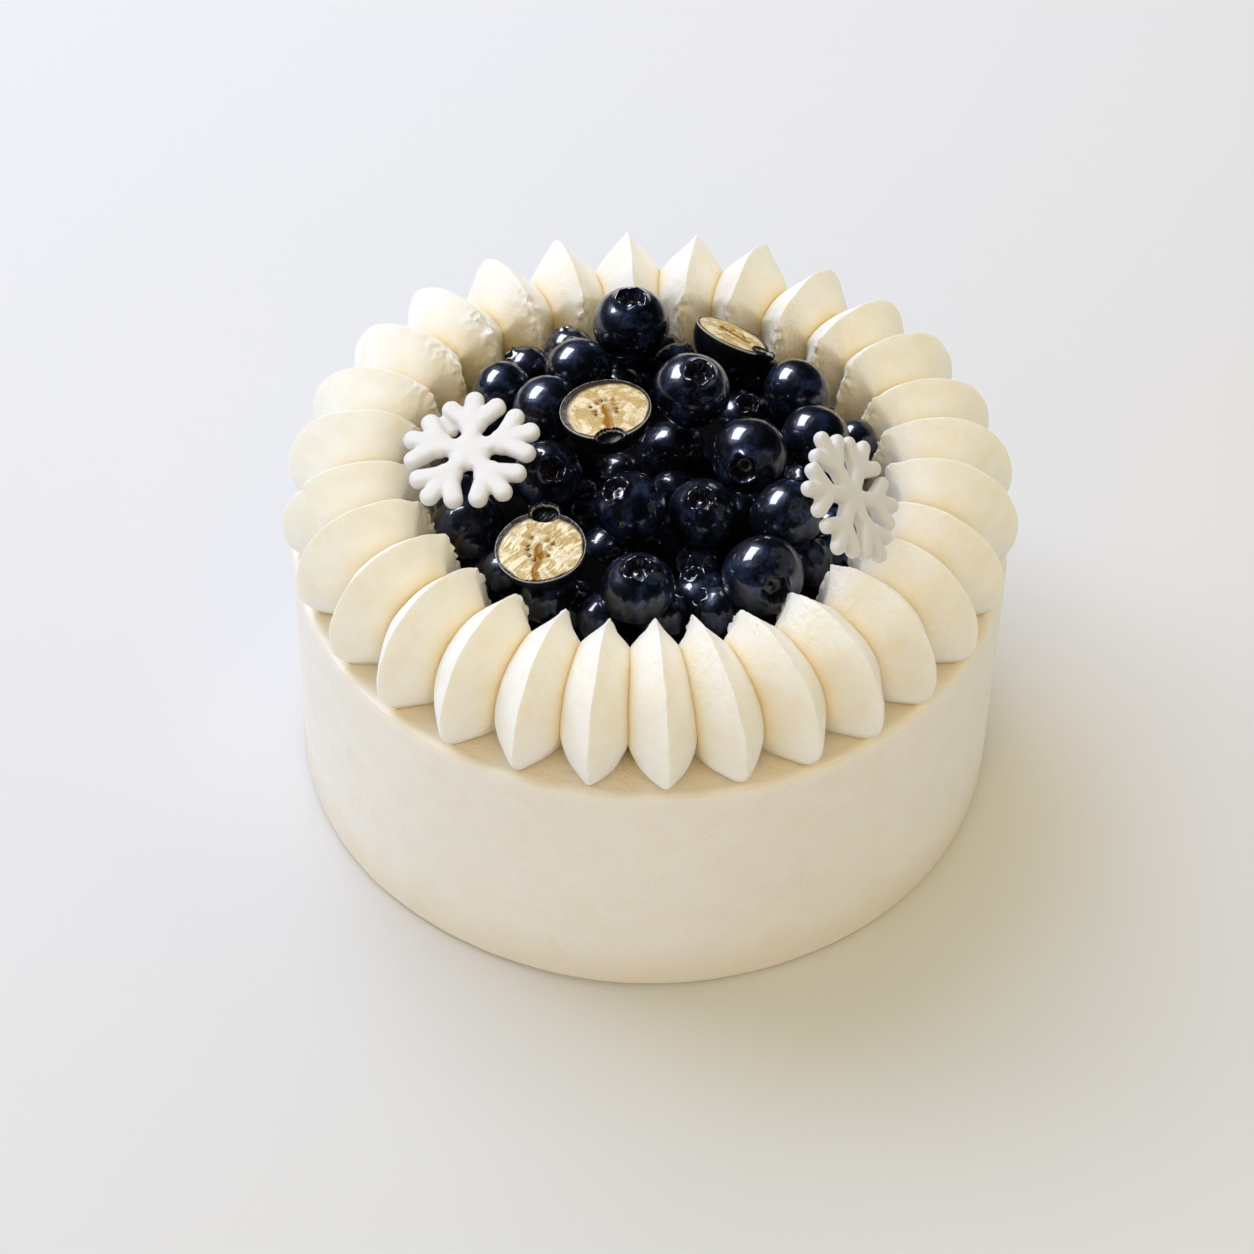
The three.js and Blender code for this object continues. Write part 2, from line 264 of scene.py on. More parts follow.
def joined(pieces: list[Piece], name: str) -> Piece:
    """Joins several objects into the first one.

    Args:
        pieces: the mesh objects.
        name: the name of what they become.

    Returns:
        The first object.
    """
    grab(pieces[0])
    for piece in pieces:
        piece.select_set(True)
    bpy.ops.object.join()
    return named(pieces[0], name)


def lumps(points: Array, size: float, seed: float) -> Array:
    """Returns a smooth random push for each point.

    Args:
        points: rows of x, y and z.
        size: how far apart the lumps are, in the units of the points.
        seed: picks the pattern.

    Returns:
        Rows of three values from about -1 to 1.
    """
    shift = Vector((seed * 17.31, seed * 5.17, seed * 9.73))
    return np.array([noise.noise_vector(Vector(point) / size + shift) for point in points])


def ramp(low: float, high: float, value: Array) -> Array:
    """Returns a smooth step from 0 at low to 1 at high."""
    share = np.clip((value - low) / (high - low), 0.0, 1.0)
    return share * share * (3.0 - 2.0 * share)


def bell(value: Array, width: float | Array) -> Array:
    """Returns 1 where a value is 0, falling to nothing within about two widths on both sides."""
    return np.exp(-((value / width) ** 2))


def turned_to(direction: Vector, pointing: Vector | None = None) -> Matrix:
    """Turns +Z to a direction, and +X as near as it can to another one.

    Args:
        direction: where +Z goes.
        pointing: where +X goes. Without it the turn is the shortest one.

    Returns:
        A 4x4 matrix.
    """
    if pointing is None:
        return UP.rotation_difference(direction).to_matrix().to_4x4()
    z = direction.normalized()
    x = (pointing - z * pointing.dot(z)).normalized()
    return Matrix((x, z.cross(x), z)).transposed().to_4x4()


def polar(distance: float, angle: float, height: float = 0.0) -> Vector:
    """Returns the point at a distance and an angle in radians round the Z axis."""
    return Vector((distance * math.cos(angle), distance * math.sin(angle), height))


def finished(piece: Piece, slot: str, *nodes: str) -> Piece:
    """Turns a piece to metres, smooths it and lets it stand for its nodes.

    Args:
        piece: the mesh object, modelled in millimetres.
        slot: the name of a slot in the record; not used.
        nodes: what it replaces.

    Returns:
        The same object.
    """
    piece.data.transform(piece.matrix_basis)
    piece.matrix_basis = Matrix.Identity(4)
    piece.data.transform(Matrix.Scale(MM, 4))
    piece.data.polygons.foreach_set("use_smooth", [True] * len(piece.data.polygons))
    piece.data.update()
    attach(piece, BODY)
    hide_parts(*nodes)
    LOG.info("%s: %d faces", piece.name, len(piece.data.polygons))
    return piece


# Finishes


class MixSocket(IntEnum):
    """Numbers of the colour sockets of a mix node."""

    FACTOR = 0
    RESULT = 2
    FIRST = 6
    SECOND = 7


def linear(colour: str) -> Four:
    """Returns an sRGB hex colour as linear red, green, blue and alpha."""
    parts = [int(colour[i : i + 2], 16) / 255 for i in (1, 3, 5)]
    return (*(c / 12.92 if c <= 0.04045 else ((c + 0.055) / 1.055) ** 2.4 for c in parts), 1.0)


@dataclass
class Paint:
    """A node material in the making."""

    name: str

    def __post_init__(self) -> None:
        """Makes the empty material."""
        self.material = bpy.data.materials.new(self.name)
        self.material.use_nodes = True
        self.tree = self.material.node_tree
        self.tree.nodes.clear()

    def node(
        self, kind: str, inputs: dict[str | int, object], output: str | int = 0, **settings: object
    ) -> Socket:
        """Adds a node with its settings and links.

        Args:
            kind: the node's type.
            inputs: a value, an sRGB hex colour or the socket that feeds it, for each input named or numbered.
            output: the name or number of the output that is wanted.
            settings: the node's own values.

        Returns:
            That output.
        """
        node = self.tree.nodes.new(f"ShaderNode{kind}")
        for name, value in settings.items():
            setattr(node, name, value)
        for name, value in inputs.items():
            if isinstance(value, Socket):
                self.tree.links.new(value, node.inputs[name])
            else:
                node.inputs[name].default_value = linear(value) if isinstance(value, str) else value
        return node.outputs[output]

    def place(self) -> Socket:
        """Returns the object's own coordinates in millimetres."""
        place = self.node("TexCoord", {}, "Object")
        return self.node("VectorMath", {0: place, 1: (1 / MM,) * 3}, operation="MULTIPLY")

    def layered(self, colour: str, *layers: tuple[Socket, str | Socket]) -> Socket:
        """Lays colours over a first one.

        Args:
            colour: the first colour.
            layers: for each layer how far it covers what is under it, from 0 to 1, and its colour.

        Returns:
            The colour that they make together.
        """
        for cover, tint in layers:
            inputs = {MixSocket.FACTOR: cover, MixSocket.FIRST: colour, MixSocket.SECOND: tint}
            colour = self.node("Mix", inputs, MixSocket.RESULT, data_type="RGBA")
        return colour

    def relief(self, *layers: tuple[Socket, float], strength: float = 1.0) -> Socket:
        """Lays fine reliefs over one another.

        Args:
            layers: for each layer its pattern, and how many millimetres it rises, or sinks if that is negative.
            strength: how much of them shows.

        Returns:
            The normal of the surface.
        """
        normal = {}
        for pattern, rise in layers:
            inputs = {"Height": pattern, "Strength": strength, "Distance": abs(rise) * MM, **normal}
            normal = {"Normal": self.node("Bump", inputs, invert=rise < 0)}
        return normal["Normal"]

    def done(self, inputs: dict[str, object]) -> Material:
        """Adds the shader and finishes the material.

        Args:
            inputs: what feeds each input of the shader.

        Returns:
            The material.
        """
        shader = self.node("BsdfPrincipled", inputs)
        self.tree.links.new(shader, self.tree.nodes.new("ShaderNodeOutputMaterial").inputs["Surface"])
        return self.material


@dataclass(frozen=True)
class Finish:
    """What a surface is made of. Sizes in millimetres."""

    name: str

    def surface(self, paint: Paint) -> dict[str, object]:
        """Adds the patterns of the surface.

        Args:
            paint: the material in the making.

        Returns:
            What feeds each input of the shader.
        """
        raise NotImplementedError

    def build(self) -> Material:
        """Returns the material."""
        paint = Paint(self.name)
        return paint.done(self.surface(paint))


@dataclass(frozen=True)
class WhippedCream(Finish):
    """Whipped cream, spread or piped: soft, dense, slightly warm white that lets light a few millimetres in.

    The air in it leaves a fine grain and a few open bubbles. Deep between two lumps the colour is painted golden,
    as shade and as the light that passes through the fat and bounces back, as much as the mesh marks; the open
    bubbles get the same painted shade. Sizes in millimetres.
    """

    colour: str = "#F9F5EA"
    warm_colour: str = "#F7F0E0"
    # painted golden shade and bounced light, for deep between lumps and inside bubbles
    painted_shade_colour: str = "#F5D68C"
    roughness: float = 0.5
    shine: float = 0.25
    scatter: float = 0.4
    scatter_depth: Point = (3.2, 2.2, 1.3)
    mottle: float = 5.0
    grain: float = 0.55
    grain_height: float = 0.11
    pit_spacing: float = 1.6
    pit_height: float = 0.34
    rough_patch: float = 17.0  # between the patches where the cream has torn and pitted
    bubble_spacing: float = 6.5
    bubble_radius: float = 0.3
    bubble_share: float = 0.28
    bubble_depth: float = 0.22
    bubble_shade: float = 0.5

    def bubbles(self, paint: Paint, place: Socket) -> Socket:
        """Scatters a few open bubbles.

        Args:
            paint: the material in the making.
            place: the coordinates in millimetres.

        Returns:
            1 inside the bubbles, 0 elsewhere.
        """
        cells = paint.node("TexVoronoi", {"Vector": place, "Scale": 1 / self.bubble_spacing, "Randomness": 1.0})
        radius = self.bubble_radius / self.bubble_spacing
        reach = {"Value": cells, "From Min": radius, "From Max": 0.3 * radius}
        dip = paint.node("MapRange", reach, interpolation_type="SMOOTHSTEP")
        lot = paint.node("SeparateColor", {"Color": cells.node.outputs["Color"]})
        drawn = paint.node("Math", {0: lot, 1: self.bubble_share}, operation="LESS_THAN")
        return paint.node("Math", {0: dip, 1: drawn}, operation="MULTIPLY")

    def surface(self, paint: Paint) -> dict[str, object]:
        """Adds the clouds, grain, pits and bubbles.

        Args:
            paint: the material in the making.

        Returns:
            What feeds each input of the shader.
        """
        place = paint.place()
        bubble = self.bubbles(paint, place)
        cloud = paint.node("TexNoise", {"Vector": place, "Scale": 1 / self.mottle, "Detail": 4.0})
        grain, pits, patches = (
            paint.node("TexNoise", {"Vector": place, "Scale": 1 / spacing, "Detail": 2.0})
            for spacing in (self.grain, self.pit_spacing, self.rough_patch)
        )
        torn = paint.node("MapRange", {"Value": patches, "From Min": 0.45, "From Max": 0.6, "To Min": 0.2})
        pits = paint.node("Math", {0: pits, 1: torn}, operation="MULTIPLY")
        return {
            "Base Color": paint.layered(
                self.colour,
                (paint.node("MapRange", {"Value": cloud, "From Min": 0.4, "From Max": 0.65}), self.warm_colour),
                # painted golden shade, as much as the mesh marks
                (paint.node("Attribute", {}, "Fac", attribute_name="painted_shade"), self.painted_shade_colour),
                # painted shade inside the open bubbles
                (paint.node("Math", {0: bubble, 1: self.bubble_shade}, operation="MULTIPLY"), self.painted_shade_colour),
            ),
            "Roughness": self.roughness, "IOR": 1.4, "Specular IOR Level": self.shine,
            "Subsurface Weight": self.scatter,
            "Subsurface Radius": tuple(depth / self.scatter_depth[0] for depth in self.scatter_depth),
            "Subsurface Scale": self.scatter_depth[0] * MM,
            "Normal": paint.relief((grain, self.grain_height), (pits, self.pit_height), (bubble, -self.bubble_depth)),
        }


@dataclass(frozen=True)
class GlazedSkin(Finish):
    """Blueberry skin under clear jelly: blue wax bloom left in patches on a near-black skin, wet and glossy.

    Sizes in millimetres.
    """

    name: str = "glazed_blueberry_skin"
    skin: str = "#05060A"
    bloom: str = "#26365C"
    sheen_tint: str = "#A6B3DC"
    pit: str = "#2A1B12"
    patch: float = 3.6  # between patches of bloom
    fleck: float = 0.6
    fleck_share: float = 0.35
    fleck_height: float = 0.03
    wave: float = 2.6
    wave_height: float = 0.22
    roughness: float = 0.34
    haze: float = 0.6
    glaze_roughness: float = 0.055
    glaze_wave_height: float = 0.02

    def surface(self, paint: Paint) -> dict[str, object]:
        """Adds the patches of bloom, the flecks and the waves.

        Args:
            paint: the material in the making.

        Returns:
            What feeds each input of the shader.
        """
        place = paint.place()
        patches = paint.node("TexNoise", {"Vector": place, "Scale": 1 / self.patch, "Detail": 4.0, "Roughness": 0.6})
        flecks = paint.node("TexNoise", {"Vector": place, "Scale": 1 / self.fleck, "Detail": 2.0})
        waves = paint.node("TexNoise", {"Vector": place, "Scale": 1 / self.wave, "Detail": 1.0})
        both = paint.node("Math", {0: flecks, 1: self.fleck_share, 2: patches}, operation="MULTIPLY_ADD")
        bloom = paint.node("MapRange", {"Value": both, "From Min": 0.67, "From Max": 1.0})
        crumbs = paint.node("MapRange", {"Value": flecks, "From Min": 0.5, "From Max": 0.62})
        inside = paint.node("Attribute", {}, "Fac", attribute_name="pit")
        dried = paint.layered(self.skin, (crumbs, self.pit))
        return {
            "Base Color": paint.layered(self.skin, (bloom, self.bloom), (inside, dried)),
            "Roughness": self.roughness, "IOR": 1.55, "Specular IOR Level": self.haze,
            "Specular Tint": self.sheen_tint, "Coat Weight": 1.0, "Coat Roughness": self.glaze_roughness,
            "Coat IOR": 1.48,
            "Normal": paint.relief((waves, self.wave_height), (flecks, self.fleck_height)),
            "Coat Normal": paint.relief((waves, self.glaze_wave_height)),
        }


@dataclass(frozen=True)
class JuiceInPaintedShade(Finish):
    """Berry juice deep in the gaps of the heap, painted nearly black and dull as shade where no light falls straight
    in.

    Sizes in millimetres.
    """

    name: str = "dark_juice_in_painted_shade"
    # painted shade: near black for the dark gaps deep between the berries
    colour: str = "#020203"
    pulp: str = "#0B0708"
    pulp_spacing: float = 2.5
    pulp_height: float = 0.4
    roughness: float = 0.6

    def surface(self, paint: Paint) -> dict[str, object]:
        """Adds the pulp.

        Args:
            paint: the material in the making.

        Returns:
            What feeds each input of the shader.
        """
        cloud = paint.node("TexNoise", {"Vector": paint.place(), "Scale": 1 / self.pulp_spacing, "Detail": 3.0})
        return {
            "Base Color": paint.layered(self.colour, (cloud, self.pulp)), "Roughness": self.roughness, "IOR": 1.36,
            "Specular IOR Level": 0.04, "Normal": paint.relief((cloud, self.pulp_height)),
        }


@dataclass(frozen=True)
class CutFlesh(Finish):
    """The inside of a cut blueberry under jelly: pale wet flesh in soft strands, amber at the core, skin at the rim.
    Its whitest strands are partly the flesh's own pale fibres and partly painted wet glints.

    The mesh gives each point its distance from the skin, the brown zone inside the skin, the amber channel, the seed
    chambers and a map of the cut face that has the crown along +U. The light line on the face next to the skin and
    round the cup's rim is a painted highlight of the wet jelly. Sizes in millimetres.
    """

    name: str = "cut_blueberry_flesh"
    flesh: str = "#C6AA6A"
    pale: str = "#F8ECC8"
    shade: str = "#8E7238"
    amber: str = "#9C6C00"
    rim: str = "#2A1A08"
    skin: str = "#08090F"
    # painted highlight: the light line that the wet jelly shows on the face next to the skin
    glaze: str = "#E4DFD2"
    skin_width: float = 0.4
    streaks: Point = (4.0, 1.1, -35.0)  # length and width of the features, and which way they run, in degrees
    clouds: Point = (3.0, 2.4, 80.0)
    grains: Point = (0.5, 0.4, 10.0)
    cloud_height: float = 0.1
    strand_height: float = 0.6
    grain_height: float = 0.07
    roughness: float = 0.42

    def pattern(self, paint: Paint, face: Socket, length: float, width: float, turn: float) -> Socket:
        """Adds a drawn-out cloudy pattern on the cut face.

        Args:
            paint: the material in the making.
            face: the map of the cut face.
            length: how far apart its features are along their run.
            width: how far apart they are across it.
            turn: which way they run, in degrees from the way to the crown.

        Returns:
            The pattern, from 0 to 1.
        """
        inputs = {"Vector": face, "Rotation": (0, 0, math.radians(turn)), "Scale": (length, width, 1)}
        place = paint.node("Mapping", inputs, vector_type="TEXTURE")
        return paint.node("TexNoise", {"Vector": place, "Scale": 1.0, "Detail": 2.0, "Distortion": 0.8})

    def surface(self, paint: Paint) -> dict[str, object]:
        """Adds the flesh's clouds and strands, and what the mesh marks.

        Args:
            paint: the material in the making.

        Returns:
            What feeds each input of the shader.
        """
        depth, shaded, amber, chamber, upper, streaky = (
            paint.node("Attribute", {}, "Fac", attribute_name=name)
            for name in ("from_skin", "shaded_rim", "amber", "chamber", "on_face", "streaky")
        )
        face = paint.node("UVMap", {}, uv_map="cut_face")
        streaks, clouds, grains = (
            self.pattern(paint, face, *run) for run in (self.streaks, self.clouds, self.grains)
        )
        drawn = paint.node("Math", {0: streaks, 1: streaky}, operation="MULTIPLY")
        tints = []
        for value, low, high, share, tint in (
            (clouds, 0.42, 0.62, 0.75, self.pale),
            (grains, 0.5, 0.66, 0.45, self.shade),
            # pale strands: partly the flesh's own fibres, partly painted wet glints
            (drawn, 0.5, 0.6, 0.95, self.pale),
            (chamber, 0.25, 0.9, 0.75, self.amber),
            (amber, 0.05, 0.55, 1.0, self.amber),
            (shaded, 0.1, 0.8, 1.0, self.rim),
            (depth, self.skin_width, 0.75 * self.skin_width, 1.0, self.skin),
            # painted highlight of the jelly, a thin light line next to the skin
            (depth, 0.2, 0.1, 0.7, self.glaze),
        ):
            reach = {"Value": value, "From Min": low, "From Max": high, "To Max": share}
            part = paint.node("MapRange", reach, interpolation_type="SMOOTHSTEP")
            if tint is self.glaze:
                part = paint.node("Math", {0: part, 1: upper}, operation="MULTIPLY")
            tints.append((part, tint))
        rises = ((clouds, self.cloud_height), (drawn, self.strand_height), (grains, self.grain_height))
        wet = paint.relief(
            *((paint.node("Math", {0: pattern, 1: upper}, operation="MULTIPLY"), rise) for pattern, rise in rises)
        )
        return {
            "Base Color": paint.layered(self.flesh, *tints), "Roughness": self.roughness, "IOR": 1.4,
            "Subsurface Weight": 0.05,
            "Subsurface Radius": (1.0, 0.7, 0.35), "Subsurface Scale": 1.2 * MM, "Specular IOR Level": 0.2,
            "Coat Weight": 0.16, "Coat Roughness": 0.12, "Coat IOR": 1.42, "Normal": wet, "Coat Normal": wet,
        }


@dataclass(frozen=True)
class WetSeed(Finish):
    """Small brown berry seed, wet with juice."""

    name: str = "blueberry_seed"
    colour: str = "#7E4606"
    dark: str = "#3A1C02"
    grain: float = 0.4

    def surface(self, paint: Paint) -> dict[str, object]:
        """Adds the grain.

        Args:
            paint: the material in the making.

        Returns:
            What feeds each input of the shader.
        """
        grain = paint.node("TexNoise", {"Vector": paint.place(), "Scale": 1 / self.grain})
        return {"Base Color": paint.layered(self.colour, (grain, self.dark)), "Roughness": 0.4, "Coat Weight": 0.2}


@dataclass(frozen=True)
class MouldedSugar(Finish):
    """Icing sugar paste pressed in a mould: chalk white, matte, with a very fine grain. Sizes in millimetres."""

    name: str = "moulded_sugar"
    colour: str = "#E0DEDA"
    shade: str = "#DAD7D1"
    mottle: float = 4.0
    grain: float = 0.5
    grain_height: float = 0.03
    roughness: float = 0.6

    def surface(self, paint: Paint) -> dict[str, object]:
        """Adds the clouds and the grain.

        Args:
            paint: the material in the making.

        Returns:
            What feeds each input of the shader.
        """
        place = paint.place()
        cloud, grain = (
            paint.node("TexNoise", {"Vector": place, "Scale": 1 / spacing}) for spacing in (self.mottle, self.grain)
        )
        return {
            "Base Color": paint.layered(self.colour, (cloud, self.shade)),
            "Roughness": self.roughness, "IOR": 1.45, "Subsurface Weight": 0.25,
            "Subsurface Radius": (1.0, 0.9, 0.8), "Subsurface Scale": 1.0 * MM,
            "Normal": paint.relief((grain, self.grain_height), strength=0.6),
        }


@dataclass(frozen=True)
class PaleFloor(Finish):
    """Plain painted table top: pale neutral grey, dead matte."""

    name: str = "pale_floor"
    colour: str = "#DDDDDB"
    shade: str = "#DBDBD9"
    mottle: float = 1 / 3  # metres

    def surface(self, paint: Paint) -> dict[str, object]:
        """Adds the clouds.

        Args:
            paint: the material in the making.

        Returns:
            What feeds each input of the shader.
        """
        place = paint.node("TexCoord", {}, "Object")
        cloud = paint.node("TexNoise", {"Vector": place, "Scale": 1 / self.mottle})
        return {"Base Color": paint.layered(self.colour, (cloud, self.shade)), "Roughness": 0.9}


# The iced cake


@dataclass
class IcedCake:
    """The round cake with its spread icing. Sizes in millimetres."""

    height: float
    foot_radius: float = 75.0
    rim_radius: float = 75.3
    foot_rounding: float = 1.2
    segments: int = 320
    level_step: float = 1.1
    foot_levels: Point = (0.15, 0.4, 0.75)
    rim_levels: tuple[float, ...] = (0.15, 0.4, 0.7, 1.1, 1.7)  # below the rim
    top_insets: tuple[float, ...] = (0.2, 0.3, 0.3, 0.3, 0.4, 0.4, 0.5, 0.6, 0.8, 1.0, 1.2, 1.5, 2.0, 3.0, 10.0)
    foot_insets: tuple[float, ...] = (0.5, 0.7, 10.0)
    waves: tuple[Four, ...] = ((0.62, 3, 0.7, 40), (0.38, 7, 2, -25))
    wave_depth: float = 0.3
    lip_height: float = 0.3
    lip_width: float = 3.0
    rim_droop: float = 0.35
    droop_height: float = 1.6
    streak_depth: float = 0.12
    dent_depth: float = 0.1
    top_unevenness: float = 0.12
    still_radius: float = 40.0  # inside it the top stays level
    # painted golden shade: on the top under the petals' feet, and low on the side near the floor
    shade_under_petals: float = 0.12
    shade_at_foot: float = 0.3
    shade_height: float = 16.0
    finish: WhippedCream = WhippedCream(
        name="spread_cream_icing",
        colour="#F5EFE3",
        warm_colour="#F4ECDD",
        # golden colour of the painted shade
        painted_shade_colour="#E3C890",
        roughness=0.55,
        scatter=0.25,
        grain=0.8,
        grain_height=0.07,
        mottle=7.0,
        bubble_share=0.06,
    )

    def blank(self) -> Piece:
        """Returns the bare drum with rings of points up its wall and over its rim."""
        drum = primitive(
            "cake_icing",
            bpy.ops.mesh.primitive_cylinder_add,
            vertices=self.segments,
            radius=self.foot_radius,
            depth=self.height,
            location=(0, 0, self.height / 2),
            end_fill_type="NGON",
        )
        bpy.ops.object.transform_apply(location=True)
        near_rim = [self.height - level for level in self.rim_levels]
        steps = np.arange(self.level_step, near_rim[-1], self.level_step)
        with editing(drum):
            for level in (*self.foot_levels, self.foot_rounding, *steps, *near_rim):
                bpy.ops.mesh.select_all(action="SELECT")
                bpy.ops.mesh.bisect(plane_co=(0, 0, level), plane_no=UP)
        for end, insets in ((1, self.top_insets), (-1, self.foot_insets)):
            for inset in insets:
                choose_faces(drum, lambda face: face.normal.z * end > 0.9 and len(face.vertices) > 4)
                with editing(drum, "FACE"):
                    bpy.ops.mesh.inset(thickness=inset, depth=0, use_even_offset=False)
        return drum

    def build(self) -> Piece:
        """Returns the finished icing."""
        drum = self.blank()
        points = points_of(drum)
        x, y, height = points.T
        flat = np.c_[x, y, np.zeros(len(points))]
        top = height > self.height - 0.01
        radius, azimuth = np.hypot(x, y), np.arctan2(x, -y)
        wave = sum(
            share * np.sin(turns * azimuth + phase + height / rise) for share, turns, phase, rise in self.waves
        )
        lean = 1 + (self.rim_radius / self.foot_radius - 1) * height / self.height
        on_lip = np.clip((radius - (self.foot_radius - self.lip_width)) / self.lip_width, 0, 1)
        ragged = 0.8 + 0.9 * lumps(flat, 4.0, 3)[:, 2] + 0.5 * lumps(flat, 1.5, 5)[:, 2]
        lip = self.lip_height * np.sin(np.pi * on_lip) * top * ragged
        droop = self.rim_droop * ramp(self.height - self.droop_height, self.height, height) * ramp(73.5, 75, radius)
        foot = self.foot_rounding * (1 - ramp(0, self.foot_rounding, height)) * ramp(73, 75, radius)
        bands = np.c_[np.cos(azimuth) * 12, np.sin(azimuth) * 12, height * 0.9]
        streaks = self.streak_depth * lumps(bands, 3.0, 8)[:, 0] * ramp(60, 74, radius)
        dents = self.dent_depth * lumps(points, 7.0, 11)[:, 0]
        out = radius * lean + self.wave_depth * wave * radius / self.foot_radius + streaks + dents - foot - droop
        scale = 1 + (out / np.maximum(radius, 1) - 1) * ramp(0, 1, radius - self.still_radius)
        uneven = self.top_unevenness * lumps(points, 9.0, 13)[:, 2] * ramp(74, 72, radius) * top
        lifted = height + lip - 0.25 * droop + uneven
        move_points(drum, np.c_[x * scale, y * scale, np.where(height < 0.01, 0, lifted)])
        # painted shade, golden, under the petals and near the foot
        under_petals = self.shade_under_petals * ramp(75.0, 71.0, radius) * top
        mark(drum, "painted_shade", np.maximum(under_petals, self.shade_at_foot * ramp(self.shade_height, 0.0, height)))
        give_finishes(drum, self.finish.build())
        return finished(drum, "icing", "cake_body")


# The piped petals


@dataclass
class PetalRing:
    """The ring of piped cream petals.

    Each has one crisp ridge from its outer foot over the crown to a torn inner end. Sizes in millimetres and degrees,
    heights above the cake top. Places along a petal are shares of the way from its outer foot to its inner foot.
    """

    top: float
    count: int = 29
    first_azimuth: float = 2.5
    drift: Point = (-3.15, 1.9, -1.06)
    pivot_radius: float = 57.0
    half_width: float = 8.9
    arch_depth: float = 16.0
    end_depth: float = 30.0
    foot_depth: float = 18.0
    arch_power: float = 2.3
    flank_power: float = 2.2
    gap: float = -0.9
    ridge_rounding: float = 0.34
    crest_drop: float = 1.0  # how much the flank falls away beside the ridge
    crest_width: float = 1.6
    foot_share: float = 0.3  # the part of the length in which a petal narrows to its foot
    foot_rounding: float = 0.3
    slant_azimuth: float = 22.0
    slant_spread: float = 20.0
    slant_angle: float = 3.6
    slant_middle: float = 68.3
    slant_reach: float = 19.3
    ridge_points: tuple[Pair, ...] = (
        (72.4, 0.0), (76.0, 4.6), (76.6, 10.8), (74.9, 16.8), (71.6, 21.8), (67.2, 25.0), (62.2, 26.7),
        (57.2, 27.0), (53.0, 26.0), (49.6, 23.4), (47.3, 18.4), (46.0, 10.0), (45.6, 0.0),
    )
    ridge_tip: float = 9 / 12
    outmost: float = 76.4
    outmost_ease: float = 0.4
    steps_along: int = 120
    steps_across: int = 60
    crowding: float = 0.09  # how much closer the steps along are at both feet
    sunk: float = 0.4
    softness: float = 0.5  # how gently the flanks of neighbours meet
    foot_softness: float = 1.8
    tuck: float = 0.4  # how far the flanks curl in under the outer foot
    tuck_height: float = 12.0
    tuck_from: float = 59.0
    tuck_to: float = 71.0
    # painted golden shade: its reach beside a neighbour, its strength at the foot and down the inner end
    painted_shade_width: float = 0.8
    painted_shade_at_foot: float = 0.55
    painted_shade_at_end: float = 0.36
    nicks: dict[int, float] = field(default_factory=lambda: {22: 0.3})
    nick_depth: float = 0.9
    torn_from: dict[int, float] = field(default_factory=lambda: {17: 0.6, 18: 0.55, 19: 0.55, 20: 0.6})
    usual_torn_from: float = 0.7
    bubbly: tuple[int, ...] = (0, 1, 2, 3, 4)
    bubbly_height: float = 0.19
    calm_height: float = 0.05
    finish: WhippedCream = WhippedCream(name="piped_whipped_cream")

    def azimuth(self, index: int) -> float:
        """Says where round the cake a petal stands.

        Args:
            index: the petal's number, from 0.

        Returns:
            Its azimuth, in radians from the front.
        """
        even = index * 2 * math.pi / self.count
        sides, front_to_back, twice = self.drift
        drift = sides * math.sin(even) + front_to_back * (math.cos(even) - 1) + twice * math.sin(2 * even)
        return math.radians(self.first_azimuth + drift) + even

    def ridge(self, along: Array) -> tuple[Array, Array]:
        """Follows the ridge on a smooth curve through its points.

        Args:
            along: places along the petal.

        Returns:
            Distances from the axis, and heights.
        """
        knots = np.array(self.ridge_points)
        place = np.clip(along, 0, 1) * (len(knots) - 1)
        start = np.minimum(place.astype(int), len(knots) - 2)
        share = (place - start)[:, None]
        before, here = knots[np.maximum(start - 1, 0)], knots[start]
        after, beyond = knots[start + 1], knots[np.minimum(start + 2, len(knots) - 1)]
        leave, arrive = (after - before) / 2, (beyond - here) / 2
        bend = 2 * here - 2 * after + leave + arrive
        sweep = -3 * here + 3 * after - 2 * leave - arrive
        return tuple((((bend * share + sweep) * share + leave) * share + here).T)

    def slanted(self, points: Array, here: float) -> Array:
        """Turns the petals right of the front, so that their inner tips lag behind their feet.

        Args:
            points: rows of x, y and z of a petal that points along +X.
            here: the petal's azimuth in radians.

        Returns:
            The turned rows.
        """
        radius = np.hypot(points[:, 0], points[:, 1])
        angle = np.arctan2(points[:, 1], points[:, 0])
        away = (np.degrees(here + angle) - self.slant_azimuth + 180) % 360 - 180
        turn = math.radians(self.slant_angle) * bell(away, self.slant_spread)
        angle = angle + turn * (radius - self.slant_middle) / self.slant_reach
        return np.c_[radius * np.cos(angle), radius * np.sin(angle), points[:, 2]]

    def arch(self, depth: Array, along: Array, inner: Array, low: Array) -> Array:
        """Says how far a flank stands out from the middle of its petal.

        Args:
            depth: how far down from the ridge.
            along: places along the petal.
            inner: 1 on the inner end, 0 elsewhere.
            low: 1 near the outer foot, 0 elsewhere.

        Returns:
            The distances, in millimetres.
        """
        full_depth = self.arch_depth + (self.end_depth - self.arch_depth) * inner
        full_depth = full_depth + (self.foot_depth - self.arch_depth) * ramp(0.42, 0.1, along)
        rounding = self.ridge_rounding + self.foot_rounding * ramp(0.16, 0.04, along)
        soft = np.sqrt(depth * depth + 2 * rounding * depth)
        crest = self.crest_drop * (1 - low) * (1 - 0.8 * inner) * ramp(0.99, 0.93, along)
        soft = soft - crest * (1 - np.exp(-soft / self.crest_width))
        return self.half_width * (1 - (1 - np.minimum(soft / full_depth, 1)) ** self.arch_power)

